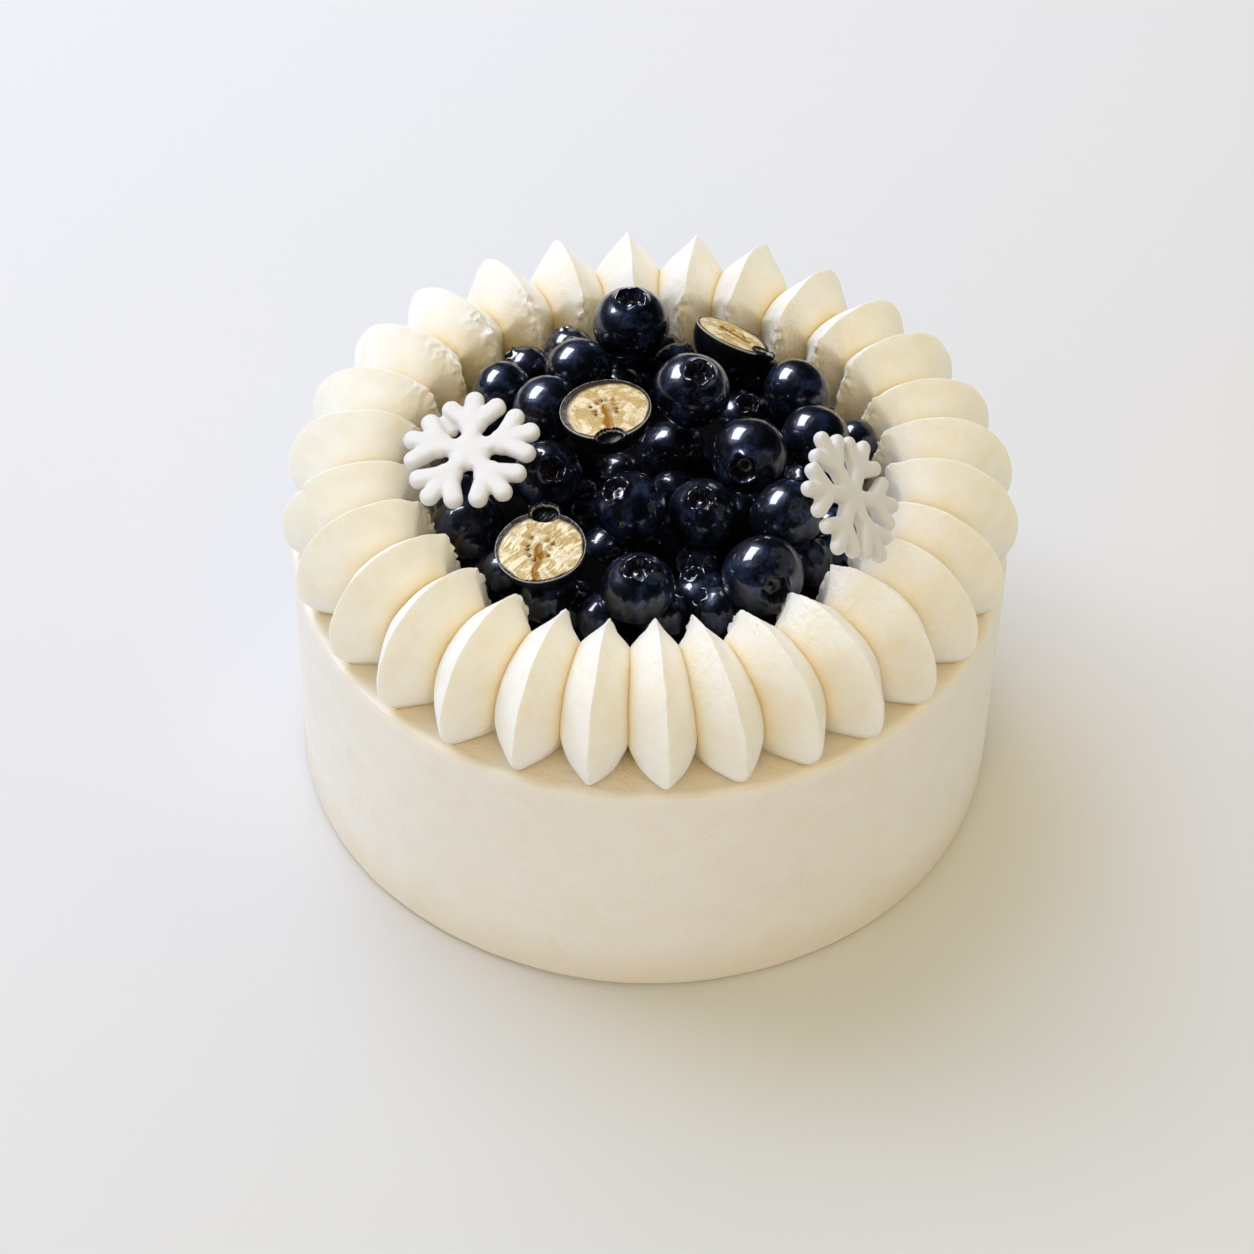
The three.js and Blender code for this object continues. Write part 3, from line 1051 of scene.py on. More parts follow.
    def roughened(
        self, index: int, points: Array, along: Array, depth: Array, height: Array
    ) -> Array:
        """Adds slow waves, small bubbles, and the torn lumps of the inner end.

        Args:
            index: the petal's number, from 0.
            points: rows of x, y and z.
            along: places along the petal.
            depth: how far down from the ridge.
            height: height of the ridge there.

        Returns:
            The roughened rows.
        """
        start = self.torn_from.get(index, self.usual_torn_from)
        torn = ramp(start, start + 0.1, along) * ramp(1.0, 0.93, along)
        firm = ramp(0, 4, height)
        bubbles = self.bubbly_height if index in self.bubbly else self.calm_height
        for share, size, seed in (
            (0.24 * firm, 7.0, 0.5),
            (bubbles * np.exp(-depth / 5.0) * firm, 1.1, 40.5),
            (0.3 * torn * np.exp(-depth / 6.0), 3.0, 80.5),
            (0.95 * torn * bell(depth, 2.2), 1.25, 120.5),
        ):
            points = points + share[:, None] * lumps(points, size, index + seed)
        return points

    def surface(self, index: int, along: Array, across: Array) -> tuple[Array, Array]:
        """Returns the points of one petal that points along +X.

        Args:
            index: the petal's number, from 0.
            along: places along the petal.
            across: from -1 to 1, with the ridge at 0 and the bottom of the flanks at both ends.

        Returns:
            Rows of x, y and z above the cake top, and how much painted shade each point gets, from 0 to 1.
        """
        pick = random.Random(1000 + index)
        tall, sway, reach = 1 + pick.uniform(-0.03, 0.03), pick.uniform(-0.7, 0.7), pick.uniform(-0.5, 0.4)
        curl, fold = pick.uniform(0.3, 1.5), pick.uniform(-1.0, 1.0)
        middle = np.sin(np.pi * along)
        inner = ramp(self.ridge_tip - 0.035, self.ridge_tip + 0.045, along)
        low = ramp(self.foot_share, 0.06, along)
        x, z = self.ridge(along)
        x, z = x + reach * middle, np.maximum(z * tall, 0)
        share = np.abs(across) ** self.flank_power
        depth = share * np.hypot(x - self.pivot_radius, z)
        if index in self.nicks:
            x = x - self.nick_depth * bell(along - self.nicks[index], 0.012) * np.exp(-depth / 1.5)
        px = x + (self.pivot_radius - x) * share
        pz = z * (1 - share)
        side = np.sign(across)
        lean = (sway * middle + fold * inner * 0.6) * (1 - share) ** 2
        wide = side * lean + self.arch(depth, along, inner, low)
        here = self.azimuth(index)
        half = np.where(side > 0, self.azimuth(index + 1) - here, here - self.azimuth(index - 1)) / 2
        limit = px * np.tan(half) - self.gap / 2 / np.cos(half)
        softness = self.softness + self.foot_softness * low
        over = np.maximum(wide - limit + softness, 0)
        wide = np.where(over > 0, limit - softness * np.exp(-over / softness), wide)
        above = np.clip(pz / self.tuck_height, 0, 1)
        wide = wide * (1 - self.tuck * ramp(self.tuck_from, self.tuck_to, px) * (1 - above) ** 2)
        # painted golden shade near a neighbour's flank, at the foot and down the inner end
        shade_at_neighbour = np.exp((wide - limit) / self.painted_shade_width) * ramp(2, 7, depth)
        painted_shade = np.maximum(shade_at_neighbour, self.painted_shade_at_foot * ramp(1.6, 0, pz))
        wall = self.painted_shade_at_end * ramp(self.ridge_tip - 0.03, self.ridge_tip + 0.12, along)
        painted_shade = np.maximum(painted_shade, wall * (1 - 0.7 * np.exp(-depth / 2.5)))
        near_tip = bell(along - self.ridge_tip, 0.03) * bell(depth, 2.2)
        points = np.c_[
            px - 0.5 * curl * near_tip, np.where(side == 0, lean, side * wide), pz + 0.6 * curl * near_tip * tall
        ]
        points = self.roughened(index, points, along, depth, z)
        over = np.maximum(points[:, 0] - self.outmost, 0)
        points[:, 0] -= over - self.outmost_ease * np.tanh(over / self.outmost_ease)
        points[:, 2] = np.where(pz < 0.02, -self.sunk, np.maximum(points[:, 2], -self.sunk))
        return self.slanted(points, here), painted_shade

    def petal(self, index: int) -> Piece:
        """Makes one closed petal at its place.

        Args:
            index: the petal's number, from 0.

        Returns:
            The petal.
        """
        piece = primitive(
            f"piped_cream_petal_{index + 1:02d}",
            bpy.ops.mesh.primitive_grid_add,
            x_subdivisions=self.steps_along,
            y_subdivisions=self.steps_across,
            size=2,
        )
        sheet = points_of(piece)
        even = (sheet[:, 0] + 1) / 2
        along = even + self.crowding * np.sin(2 * np.pi * even) / np.pi
        points, painted_shade = self.surface(index, along, np.round(sheet[:, 1], 6))
        move_points(piece, points)
        mark(piece, "painted_shade", painted_shade)
        with editing(piece):
            for close, settings in (
                (bpy.ops.mesh.remove_doubles, {"threshold": 0.002}),
                (bpy.ops.mesh.fill_holes, {"sides": 0}),
                (bpy.ops.mesh.normals_make_consistent, {"inside": False}),
            ):
                bpy.ops.mesh.select_all(action="SELECT")
                close(**settings)
        return put(piece, (0, 0, self.top), Matrix.Rotation(self.azimuth(index) - math.pi / 2, 4, "Z"))

    def build(self) -> list[Piece]:
        """Returns the finished petals."""
        cream = self.finish.build()
        pieces = []
        for index in range(self.count):
            piece = self.petal(index)
            give_finishes(piece, cream)
            pieces.append(finished(piece, "piped_cream", piece.name.removeprefix("piped_")))
        return pieces


# The berries


@dataclass
class BerryShape:
    """A blueberry of radius 1 with its five-lobed crown on top. Levels are shares of the way down from the middle."""

    flatness: float = 0.93
    shoulder: float = 61.0  # the latitude where the crown meets the skin, in degrees
    skin_level: float = 0.36
    crown_radius: float = 0.4
    crown_rise: float = 0.085
    rim_level: float = 0.27
    pit_radius: float = 0.25
    pit_depth: float = 0.2
    pit_level: float = 0.17
    lobes: int = 5
    scar_height: float = 0.05
    segments: int = 50
    rings: int = 44

    def model(self, name: str, skin: Material) -> Piece:
        """Shapes the berry and marks the inside of its crown.

        Args:
            name: the piece's name.
            skin: its finish.

        Returns:
            The berry.
        """
        berry = ball(name, self.segments, self.rings)
        x, y, z = points_of(berry).T
        down, around = np.arccos(np.clip(z, -1, 1)) / np.pi, np.arctan2(y, x)
        share = np.clip((down - self.skin_level) / (1 - self.skin_level), 0, 1)
        latitude = np.radians(self.shoulder - (self.shoulder + 90) * share)
        shoulder = math.radians(self.shoulder)
        rim = self.flatness * math.sqrt(1 - self.crown_radius**2)
        floor = rim - self.pit_depth
        levels, radii, heights = zip(
            (0.0, 0, floor + 0.03),
            (0.07, 0.1, floor),
            (0.14, self.pit_radius * 0.85, floor),
            (0.2, self.pit_radius, floor + 0.1),
            (0.26, self.crown_radius - 0.05, rim + self.crown_rise),
            (0.31, self.crown_radius, rim + self.crown_rise * 0.8),
            (self.skin_level, math.cos(shoulder), self.flatness * math.sin(shoulder)),
        )
        lobe = (0.5 + 0.5 * np.cos(self.lobes * around)) ** 0.8
        lift = bell(down - self.rim_level, 0.045) * self.crown_rise * (lobe - 0.6) * 1.3
        spread = bell(down - 0.2, 0.05) * 0.09 * (0.5 - lobe)
        on_skin = down > self.skin_level
        radius = np.where(on_skin, np.cos(latitude), np.interp(down, levels, radii) + spread)
        height = np.where(on_skin, self.flatness * np.sin(latitude), np.interp(down, levels, heights) + lift)
        height = height + self.scar_height * bell(1 - down, 0.05)
        move_points(berry, np.c_[radius * np.cos(around), radius * np.sin(around), height])
        mark(berry, "pit", ramp(self.rim_level, self.pit_level, down))
        give_finishes(berry, skin)
        return berry


@dataclass
class WholeBerries:
    """The whole berries on the heap, each a little out of round, and where the blossom end of each one looks."""

    shape: BerryShape
    skin: Material
    unevenness: float = 0.035
    looks: tuple[Point, ...] = (
        (0, -0.05, 1), (-0.3, 0.6, 0.7), (-0.2, 0.9, 0.3), (-0.6, 0.2, 0.5), (-0.9, 0.3, -0.2), (-0.4, 0.9, -0.1),
        (0.6, 0.4, 0.6), (0.19, -0.26, 0.95), (0.5, 0.8, 0.1), (0.3, 0.8, 0.4), (0.9, 0.1, -0.3),
        (-0.2, -0.9, 0.36), (0.2, -0.8, -0.5), (0.1, -0.2, 0.9), (0.19, -0.57, 0.8), (-0.49, -0.12, 0.86),
        (-0.06, -0.32, 0.95), (0.8, -0.4, -0.4), (0, -0.17, 0.98), (0.31, -0.88, 0.35), (-0.3, 0.3, 0.9),
        (0.4, -0.5, 0.7), (0.2, -0.9, 0.4), (0.4, -0.8, 0.3),
    )
    crown_shows: tuple[int, ...] = (1, 8, 12, 15, 16, 17, 19, 20)

    def berry(self, number: int, looks: Point, master: Piece) -> Piece:
        """Makes one berry at its place.

        Args:
            number: the berry's number, from 0.
            looks: where its blossom end looks.
            master: the berry of radius 1.

        Returns:
            The finished berry.
        """
        name = f"blueberry_{number + 1:02d}"
        low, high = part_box(name)
        piece = copy_of(master, f"glazed_{name}")
        if number + 1 in self.crown_shows:
            apply_modifier(piece, "SUBSURF", levels=1, render_levels=1)
        points = points_of(piece)
        move_points(piece, points + self.unevenness * lumps(points, 1.1, number))
        spin, size = Matrix.Rotation(number * 2.4, 4, "Z"), Matrix.Scale(max(high - low) / (2 * MM), 4)
        put(piece, (low + high) / (2 * MM), turned_to(Vector(looks).normalized()), spin, size)
        return finished(piece, "berry_skin", name)

    def build(self) -> list[Piece]:
        """Returns the finished berries."""
        master = self.shape.model("berry_master", self.skin)
        pieces = [self.berry(number, looks, master) for number, looks in enumerate(self.looks)]
        bpy.data.objects.remove(master)
        return pieces


@dataclass(frozen=True)
class HalfSeat:
    """How one halved berry lies: middle of the cut face, radius, the way the face looks and where the crown points.

    The channel is the amber strand on the cut face, from one place to another along the way to the crown, in berry
    radii. The shade is where on the face the brown zone inside the skin is widest. Streaky is how much of its flesh
    stands in white strands, partly pale flesh and partly painted wet glints, from 0 to 1.
    """

    middle: Point
    radius: float
    face: Point
    crown: Point
    channel: Pair
    shade: Pair
    streaky: float


@dataclass
class HalvedBerries:
    """The berries cut in two through the crown. Sizes in millimetres, heights above the cake top."""

    top: float
    flesh: Material
    seed: Material
    seats: tuple[HalfSeat, ...] = (
        HalfSeat((-9.6, 3.9, 31.3), 9.2, (-0.1, 0.02, 0.99), (0.14, -1, 0), (-0.1, 0.8), (-0.9, -0.6), 0.0),
        HalfSeat((17, 33.3, 26), 8.4, (0.39, 0.39, 0.84), (0.8, -0.5, 0), (-0.4, 0.5), (0.2, 0.2), 0.3),
        HalfSeat((-22.1, -30.1, 24.9), 8.9, (-0.1, -0.15, 0.98), (0.1, 1, 0.1), (-0.95, 0.05), (0.6, 0.2), 1.0),
    )
    voxel: float = 0.17
    swelling: float = 1.03
    flatness: float = 0.97
    unevenness: float = 0.25
    face_swell: float = 0.35
    face_relief: float = 0.06
    pits_in_all: int = 10
    pit_distance: float = 0.32  # from the core, in berry radii
    pit_radius: float = 0.7
    pit_depth: float = 0.5
    channel_depth: float = 0.25
    channel_width: float = 0.75
    seed_length: float = 1.25
    seed_sunk: float = 0.15
    seedless_share: float = 0.35
    cup_length: float = 4.4
    cup_width: float = 6.0
    cup_depth: float = 1.7
    cup_wall: float = 0.35
    cup_rise: float = 0.8
    cup_shift: float = -0.5

    def pits(self, number: int, radius: float) -> list[Vector]:
        """Chooses where the seed chambers open on the cut face, round the core and clear of the crown.

        Args:
            number: the half's number, from 0.
            radius: the berry's radius.

        Returns:
            The middles of the chambers.
        """
        pick = random.Random(70 + number)
        found = []
        for step in range(self.pits_in_all):
            angle = math.radians(50 + step * 260 / (self.pits_in_all - 1)) + pick.uniform(-0.15, 0.15)
            found.append(polar(radius * self.pit_distance * pick.uniform(0.7, 1.2), angle))
        return found

    def whole(self, number: int, radius: float) -> Piece:
        """Shapes the slightly uneven round of a whole berry, before it is cut.

        Args:
            number: the half's number, from 0.
            radius: the berry's radius.

        Returns:
            The round.
        """
        whole = ball("whole_before_cut", 96, 64, radius * self.swelling)
        points = points_of(whole) * (self.flatness, 1, 1)
        move_points(whole, points + self.unevenness * lumps(points, 9.0, number + 5))
        return whole

    def cup_middle(self, radius: float) -> float:
        """Returns how far towards the crown the middle of the calyx cup lies."""
        return radius * self.swelling * self.flatness + self.cup_shift

    def cup_share(self, points: Array, radius: float, wall: float) -> Array:
        """Says how far out each point lies in the calyx cup.

        Args:
            points: rows of x, y and z.
            radius: the berry's radius.
            wall: how much of the cup's wall counts as inside.

        Returns:
            1 on the wall, less inside.
        """
        along = (points[:, 0] - self.cup_middle(radius)) / (self.cup_length / 2 + wall)
        return np.hypot(along, points[:, 1] / (self.cup_width / 2 + wall))

    def cup(self, radius: float) -> Piece:
        """Shapes the lower half of the calyx cup as a solid lump, before it is hollowed.

        Args:
            radius: the berry's radius.

        Returns:
            The lump.
        """
        cup = ball("calyx_cup", 48, 32)
        keep_lower_half(cup)
        wall = self.cup_wall
        size = (self.cup_length / 2 + wall, self.cup_width / 2 + wall, self.cup_depth + wall, 1)
        return put(cup, (self.cup_middle(radius), 0, 0), Matrix.Diagonal(size))

    def half(self, number: int, seat: HalfSeat) -> Piece:
        """Makes one half at its place.

        Args:
            number: the half's number, from 0.
            seat: how it lies.

        Returns:
            The finished half.
        """
        node, radius = f"half_blueberry_{number + 1}", seat.radius
        whole = self.whole(number, radius)
        piece = copy_of(whole, f"glazed_{node}")
        keep_lower_half(piece)
        piece = joined([piece, self.cup(radius)], piece.name)
        apply_modifier(piece, "REMESH", mode="VOXEL", voxel_size=self.voxel, use_smooth_shade=True)
        points = points_of(piece)
        x, y, z = points.T
        depth = np.array([(Vector(p) - whole.closest_point_on_mesh(Vector(p))[1]).length for p in points])
        bpy.data.objects.remove(whole)
        wobble = lumps(points, 2.5, number + 49)
        pits = self.pits(number, radius)
        chambers = np.max([bell(np.hypot(x - pit.x, y - pit.y), self.pit_radius) for pit in pits], axis=0)
        start, end = (share * radius for share in seat.channel)
        amber = bell(y + 0.8 * wobble[:, 1], self.channel_width + 0.3 * wobble[:, 0])
        amber *= ramp(start - 0.8, start + 0.6, x) * ramp(end + 0.8, end - 0.6, x)
        shaded = points[:, :2] @ np.array(seat.shade) / radius
        brown = ramp(1.0 + 3.4 * np.clip(shaded + 0.1, 0, 1.2) + 0.8 * wobble[:, 2], 0.25, depth)
        in_cup = self.cup_share(points, radius, 0.0)
        flat = ramp(-0.35, -0.05, z) * ramp(0.2, 0.7, depth)
        relief = self.face_relief * lumps(points, 1.8, number + 9)[:, 2]
        sinks = self.pit_depth * chambers + self.channel_depth * amber
        swell = self.face_swell * flat * ramp(0, 3, depth)
        upper = ramp(-0.3, -0.05, z)
        hollow = self.cup_depth * np.sqrt(np.clip(1 - in_cup**2, 0, 1))
        ragged = 0.6 + 0.6 * lumps(points, 1.6, number + 90)[:, 0]
        beyond = ramp(-0.3, 0.5, x - radius * self.flatness)
        lip = self.cup_rise * ragged * beyond * bell(in_cup - 1.05, 0.1)
        raised = z + ramp(1.0, 1.25, in_cup) * (flat * (relief - sinks) + swell) + upper * (lip - hollow)
        move_points(piece, np.c_[x, y, raised])
        # the cup's rim gets a distance from the skin at which the painted jelly highlight line shows
        on_cup = self.cup_share(points, radius, self.cup_wall) < 1.03
        on_rim = on_cup & (in_cup > 0.93) & (in_cup < 1.0)
        for name, values in (
            ("from_skin", np.where(on_rim, 0.12, np.where(on_cup, 0.25, depth))),
            ("on_face", ramp(-0.45, -0.1, z)),
            ("shaded_rim", brown),
            ("amber", amber),
            ("chamber", chambers),
            ("streaky", np.full(len(points), seat.streaky)),
        ):
            mark(piece, name, values)
        self.map_face(piece, points)
        give_finishes(piece, self.flesh, self.seed)
        piece = joined([piece, *self.seeds(number, pits)], piece.name)
        put(piece, Vector(seat.middle) + UP * self.top, turned_to(Vector(seat.face), Vector(seat.crown)))
        return finished(piece, "cut_berry", node)

    def map_face(self, piece: Piece, points: Array) -> None:
        """Keeps the place of each corner on the cut face as a map.

        Args:
            piece: the half.
            points: its vertices as rows of x, y and z, before the face was shaped.
        """
        layer = piece.data.uv_layers.new(name="cut_face")
        corner = np.empty(len(piece.data.loops), np.int32)
        piece.data.loops.foreach_get("vertex_index", corner)
        layer.data.foreach_set("uv", points[corner, :2].astype(np.float32).ravel())

    def seeds(self, number: int, pits: list[Vector]) -> list[Piece]:
        """Makes a few seeds that lie half sunk in the chambers.

        Args:
            number: the half's number, from 0.
            pits: the middles of the chambers.

        Returns:
            The seeds.
        """
        pick = random.Random(170 + number)
        found = []
        for pit in pits:
            if pick.random() < self.seedless_share:
                continue
            round_shape = {"subdivisions": 2, "radius": self.seed_length / 2}
            seed = primitive("berry_seed", bpy.ops.mesh.primitive_ico_sphere_add, **round_shape)
            turn = Matrix.Rotation(math.atan2(pit.y, pit.x) + pick.uniform(-0.5, 0.5), 4, "Z")
            put(seed, pit - UP * self.seed_sunk, turn, Matrix.Diagonal((1, 0.55, 0.5, 1)))
            give_finishes(seed, self.flesh, self.seed, use=1)
            found.append(seed)
        return found

    def build(self) -> list[Piece]:
        """Returns the finished halves."""
        return [self.half(number, seat) for number, seat in enumerate(self.seats)]


@dataclass
class BerryBed:
    """The bottom of the heap: low berries over a filling of juice painted near black as the shade in the gaps.

    Sizes in millimetres, heights above the cake top.
    """

    top: float
    shape: BerryShape
    skin: Material
    # the filling's finish: berry juice painted near black as deep shade
    juice: Material
    segments: int = 40
    rings: int = 34
    radius: float = 44.3
    height: float = 13.0
    edge_height: float = 12.5
    unevenness: float = 1.2
    sunk: float = 0.3
    low_berries: tuple[Four, ...] = (
        (35.6, 11.3, 6.4, 5.8), (-30.4, -24.1, 10.4, 5.6), (-11.5, -8.4, 11.3, 5.8), (-6.3, 29.9, 12.2, 5.8),
        (20.0, -4.0, 8.0, 6.0), (3.0, -17.0, 7.0, 5.7), (-24.0, -6.0, 7.0, 5.7), (-22.0, 14.0, 8.0, 6.0),
        (33.0, 22.0, 7.0, 5.2), (24.0, -19.0, 7.0, 5.7), (17.0, 34.6, 7.0, 5.6), (-17.0, 36.0, 5.0, 4.8),
    )
    low_unevenness: float = 0.04
    edge_berries: int = 21
    edge_distance: float = 39.8
    edge_heights: Pair = (13.0, 15.0)
    edge_sizes: Pair = (5.0, 5.6)
    filling_berries: int = 24
    filling_reach: float = 34.5
    filling_heights: Pair = (9.3, 10.6)
    filling_size: float = 5.5

    def core(self) -> Piece:
        """Returns the low uneven dome of filling."""
        dome = ball("filling_core", 96, 48, self.radius)
        points = points_of(dome)
        x, y, z = points.T
        share = np.hypot(x, y) / self.radius
        surface = self.edge_height + (self.height - self.edge_height) * (1 - share**2)
        surface += self.unevenness * lumps(points, 9.0, 51)[:, 2]
        level = np.clip(z / self.radius * 6, -1, 1)
        move_points(dome, np.c_[x, y, np.where(level > 0, surface * level, 0) - self.sunk])
        mark(dome, "pit", np.zeros(len(points)))
        give_finishes(dome, self.skin, self.juice, use=1)
        return dome

    def spots(self) -> Iterator[tuple[Point | Vector, Vector, float]]:
        """Gives the place, the way the blossom end looks and the radius of each berry of the bed."""
        pick = random.Random(7)

        def looks(lowest: float) -> Vector:
            """Draws which way a blossom end looks."""
            return Vector((pick.uniform(-1, 1), pick.uniform(-1, 1), pick.uniform(lowest, 1))).normalized()

        for *place, radius in self.low_berries:
            yield place, looks(-0.6), radius
        for number in range(self.edge_berries):
            angle = 2 * math.pi * (number + pick.uniform(-0.12, 0.12)) / self.edge_berries
            distance = self.edge_distance + pick.uniform(-1.2, 0.4)
            facing = looks(-0.6)
            yield polar(distance, angle, pick.uniform(*self.edge_heights)), facing, pick.uniform(*self.edge_sizes)
        for number in range(self.filling_berries):
            distance = self.filling_reach * math.sqrt((number + 0.5) / self.filling_berries)
            size = self.filling_size * pick.uniform(0.9, 1.06)
            facing = looks(-0.2)
            height = pick.uniform(*self.filling_heights)
            yield polar(distance, number * math.pi * (3 - math.sqrt(5)), height), facing, size

    def build(self) -> Piece:
        """Returns the finished bed."""
        master = replace(self.shape, segments=self.segments, rings=self.rings).model("low_berry_master", self.skin)
        parts = [self.core()]
        for number, (place, looks, radius) in enumerate(self.spots()):
            berry = copy_of(master, f"low_berry_{number + 1}")
            if number < len(self.low_berries):
                points = points_of(berry)
                move_points(berry, points + self.low_unevenness * lumps(points, 1.1, number + 60))
            parts.append(put(berry, place, turned_to(looks), Matrix.Scale(radius, 4)))
        bpy.data.objects.remove(master)
        return finished(put(joined(parts, "berry_heap_bottom"), UP * self.top), "berry_filling", "berry_bed")


# The snowflakes


@dataclass
class Snowflake:
    """One moulded sugar snowflake. Sizes in millimetres, height above the cake top."""

    top: float
    sugar: Material
    node: str
    middle: Point
    face: Point
    arm: Point
    arms: int = 6
    stub: bool = False
    neck: float = 2.05
    lobe: float = 2.0
    hub: float = 4.6
    web: float = 3.2  # the filled crotch where an arm branches
    web_shift: float = 0.6
    half_thickness: float = 1.45
    tip_distance: float = 12.9
    branch_root: float = 6.6
    branch_end: Pair = (10.8, 4.7)
    stub_length: float = 10.4
    stub_waist: float = 7.6
    stub_drop: float = 1.2
    unevenness: float = 0.12
    voxel: float = 0.24

    def drop(self, spot: Vector, radius: float, flatness: float = 1.0) -> Piece:
        """Returns a ball at a point, flattened by a factor."""
        return put(ball("drop", 24, 14, radius), spot, Matrix.Diagonal((1, 1, flatness, 1)))

    def bar(self, start: Vector, end: Vector, width: float, end_width: float) -> list[Piece]:
        """Makes a bar from one point to another, as a tapered rod and the ball at its end.

        Args:
            start: the first point.
            end: the other one.
            width: the rod's radius at the start.
            end_width: its radius at the end.

        Returns:
            The rod and the ball.
        """
        along = end - start
        cone = {"vertices": 24, "radius1": width, "radius2": end_width, "depth": along.length}
        rod = primitive("rod", bpy.ops.mesh.primitive_cone_add, end_fill_type="TRIFAN", **cone)
        return [put(rod, (start + end) / 2, turned_to(along.normalized())), self.drop(end, end_width * 1.03)]

    def parts(self) -> list[Piece]:
        """Returns the balls and rods that the snowflake is pressed from, lying flat."""
        x, aside = self.branch_end
        middle, root = Vector(), Vector((self.branch_root, 0, 0))
        found = [self.drop(middle, self.hub, self.neck / self.hub)]
        for index in range(self.arms):
            turn = Matrix.Rotation(index * 2 * math.pi / self.arms, 3, "Z")
            web = turn @ Vector((self.branch_root + self.web_shift, 0, 0))
            found.append(self.drop(web, self.web, self.neck / self.web))
            found += self.bar(middle, turn @ root, self.neck, self.neck)
            for end in ((self.tip_distance, 0, 0), (x, aside, 0), (x, -aside, 0)):
                found += self.bar(turn @ root, turn @ Vector(end), self.neck, self.lobe)
        if self.stub:
            turn = Matrix.Rotation(math.pi / self.arms, 3, "Z")
            waist, end = (turn @ Vector((x, 0, -self.stub_drop)) for x in (self.stub_waist, self.stub_length))
            found.append(self.drop(end, 0.85 * self.neck))
            found += self.bar(end, waist, 0.85 * self.neck, 0.65 * self.neck)
        return found

    def build(self) -> Piece:
        """Returns the finished snowflake."""
        flake = joined(self.parts(), f"sugar_{self.node}")
        apply_modifier(flake, "REMESH", mode="VOXEL", voxel_size=self.voxel, use_smooth_shade=True)
        apply_modifier(flake, "SMOOTH", factor=0.5, iterations=14)
        points = points_of(flake)
        level = np.clip(np.abs(points[:, 2]) / self.neck, 0, 1)
        points[:, 2] = np.sign(points[:, 2]) * self.half_thickness * (1 - (1 - level) ** 1.7)
        move_points(flake, points + self.unevenness * lumps(points, 4.0, len(self.node)))
        give_finishes(flake, self.sugar)
        put(flake, Vector(self.middle) + UP * self.top, turned_to(Vector(self.face), Vector(self.arm)))
        return finished(flake, "sugar", self.node)


# Floor, light and camera


class Reach(Enum):
    """What a lamp does: it lights surfaces, or it is only mirrored in them."""

    LIGHTS = "lights"
    MIRRORED = "mirrored"


@dataclass(frozen=True)
class Lamp:
    """One soft rectangular lamp that looks at the cake. Sizes and places in metres, power in watts."""

    name: str
    place: Point
    size: Pair
    power: float
    colour: Point = (1.0, 1.0, 1.0)
    reach: Reach = Reach.LIGHTS
    look_height: float = 0.06

    def build(self) -> None:
        """Makes the lamp."""
        bpy.ops.object.select_all(action="DESELECT")
        bpy.ops.object.light_add(type="AREA", location=self.place)
        lamp = bpy.context.active_object
        lamp.name = self.name
        lamp.data.shape = "RECTANGLE"
        lamp.data.size, lamp.data.size_y = self.size
        lamp.data.energy = self.power
        lamp.data.color = self.colour
        towards = UP * self.look_height - Vector(self.place)
        lamp.rotation_euler = towards.to_track_quat("-Z", "Y").to_euler()
        lamp.visible_glossy = self.reach is Reach.MIRRORED
        lamp.visible_diffuse = self.reach is Reach.LIGHTS
        lamp.visible_camera = False


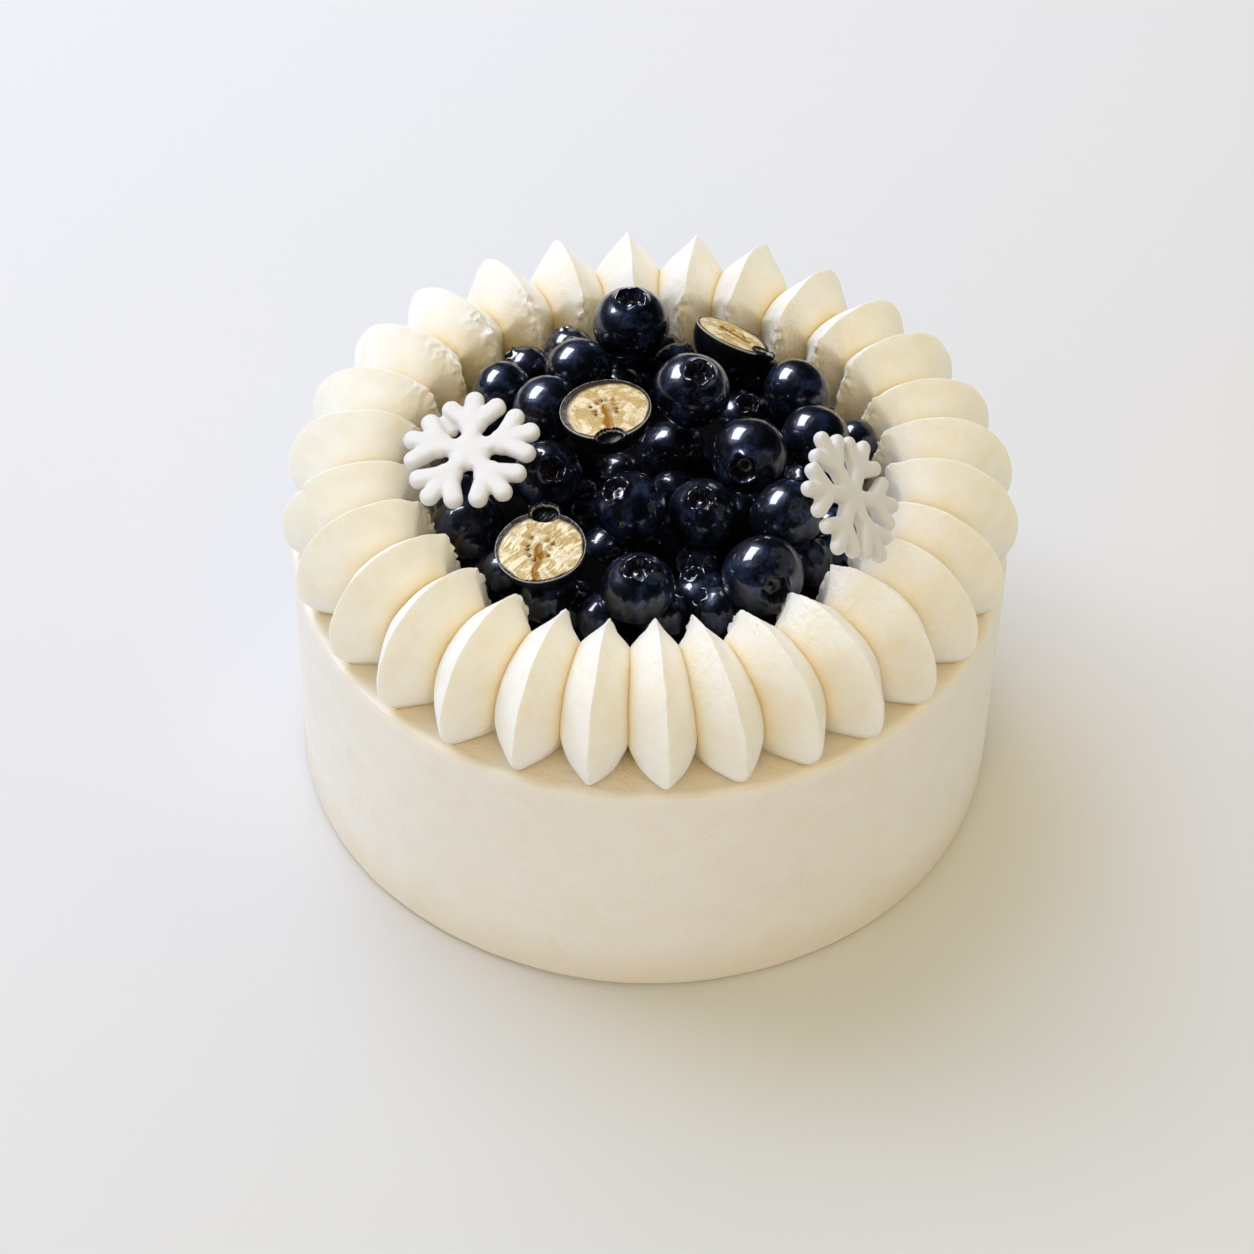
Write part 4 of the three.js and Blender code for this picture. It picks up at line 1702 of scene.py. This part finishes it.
@dataclass
class Studio:
    """Pale floor, a tall window from the left and behind, soft light from above and the front, and the camera.

    The camera's distance and shifts are in millimetres, its angles in degrees.
    """

    lamps: tuple[Lamp, ...] = (
        Lamp("window", (-0.45, 0.45, 0.95), (0.9, 0.9), 9.5, (0.52, 0.65, 1.0)),
        Lamp("window_mirrored", (-0.775, 0.573, 1.209), (1.15, 0.7), 46.0, reach=Reach.MIRRORED),
        Lamp("low_window", (-1.275, 0.495, 0.675), (0.62, 1.35), 4.1, (1.0, 0.91, 0.96)),
        Lamp("left_wall", (-1.1, -0.7, 0.35), (0.9, 0.6), 4.4, (0.48, 0.63, 1.0)),
        Lamp("back_wall", (0.0, 1.2, 0.7), (1.4, 0.9), 5.5, (0.95, 0.82, 1.0)),
        Lamp("ceiling_right", (0.9, 0.1, 0.9), (1.0, 1.0), 2.7, (1.0, 0.87, 0.6)),
        Lamp("ceiling_front", (0.0, -0.9, 1.0), (1.0, 1.0), 5.0, (1.0, 0.645, 0.2)),
        Lamp("front_wall", (0.8, -1.1, 0.5), (1.4, 0.9), 3.0, (0.22, 0.36, 1.0)),
    )
    sky: float = 0.335
    sky_colour: Four = (0.97, 1.0, 0.66, 1.0)
    floor_size: float = 8.0
    focal_length: float = 109.68
    sensor_width: float = 36.0
    pitch: float = 46.036
    roll: float = 0.9875
    distance: float = 846.4
    aside: float = -4.3715
    upwards: float = 20.565

    def floor(self) -> None:
        """Makes the floor."""
        grid = {"x_subdivisions": 8, "y_subdivisions": 8, "size": self.floor_size}
        ground = primitive("floor", bpy.ops.mesh.primitive_grid_add, **grid)
        give_finishes(ground, PaleFloor().build())
        ground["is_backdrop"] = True

    def lights(self) -> None:
        """Makes the lamps and the soft surrounding light, which no glossy surface mirrors."""
        for lamp in self.lamps:
            lamp.build()
        world = bpy.data.worlds.new("soft_room")
        bpy.context.scene.world = world
        world.use_nodes = True
        background = world.node_tree.nodes["Background"]
        background.inputs["Color"].default_value = self.sky_colour
        background.inputs["Strength"].default_value = self.sky
        world.cycles_visibility.glossy = False

    def camera(self) -> None:
        """Makes the camera at the photo's viewing angle."""
        data = bpy.data.cameras.new("camera")
        data.lens, data.sensor_width = self.focal_length, self.sensor_width
        camera = bpy.data.objects.new("camera", data)
        bpy.context.scene.collection.objects.link(camera)
        tilt = Matrix.Rotation(math.radians(90 - self.pitch), 4, "X")
        place = tilt @ Vector((self.aside, self.upwards, self.distance)) * MM
        camera.matrix_world = Matrix.Translation(place) @ tilt @ Matrix.Rotation(math.radians(self.roll), 4, "Z")
        bpy.context.scene.camera = camera

    def build(self) -> None:
        """Makes everything round the cake."""
        self.camera()
        self.floor()
        self.lights()
        bpy.context.scene.view_settings.view_transform = "Standard"


def main() -> None:
    """Builds the whole cake and its studio."""
    logging.basicConfig(level=logging.INFO, format="%(name)s %(message)s")
    noise.seed_set(NOISE_SEED)
    cad_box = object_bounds()
    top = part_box("berry_bed")[0].z / MM
    Studio().build()
    IcedCake(height=top).build()
    PetalRing(top=top).build()
    shape = BerryShape()
    skin = GlazedSkin().build()
    BerryBed(top, shape, skin, JuiceInPaintedShade().build()).build()
    WholeBerries(shape, skin).build()
    HalvedBerries(top, CutFlesh().build(), WetSeed().build()).build()
    sugar = MouldedSugar().build()
    Snowflake(
        top, sugar, "snowflake_left", (-36.9, -8.4, 30), (-0.19, -0.18, 0.97), (0.04, 0.98, 0.19), arms=5, stub=True
    ).build()
    Snowflake(
        top, sugar, "snowflake_right", (39.5, -27.4, 37.5), (0.72, -0.23, 0.65), (-0.46, 0.53, 0.71),
        neck=1.75, lobe=1.6, hub=3.8, web=2.3, branch_root=6.8, branch_end=(10.7, 4.1)
    ).build()
    boxes = {"cad": cad_box, "visual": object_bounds()}
    {name: [list(corner) for corner in box] for name, box in boxes.items()}


if __name__ == "__main__":
    main()
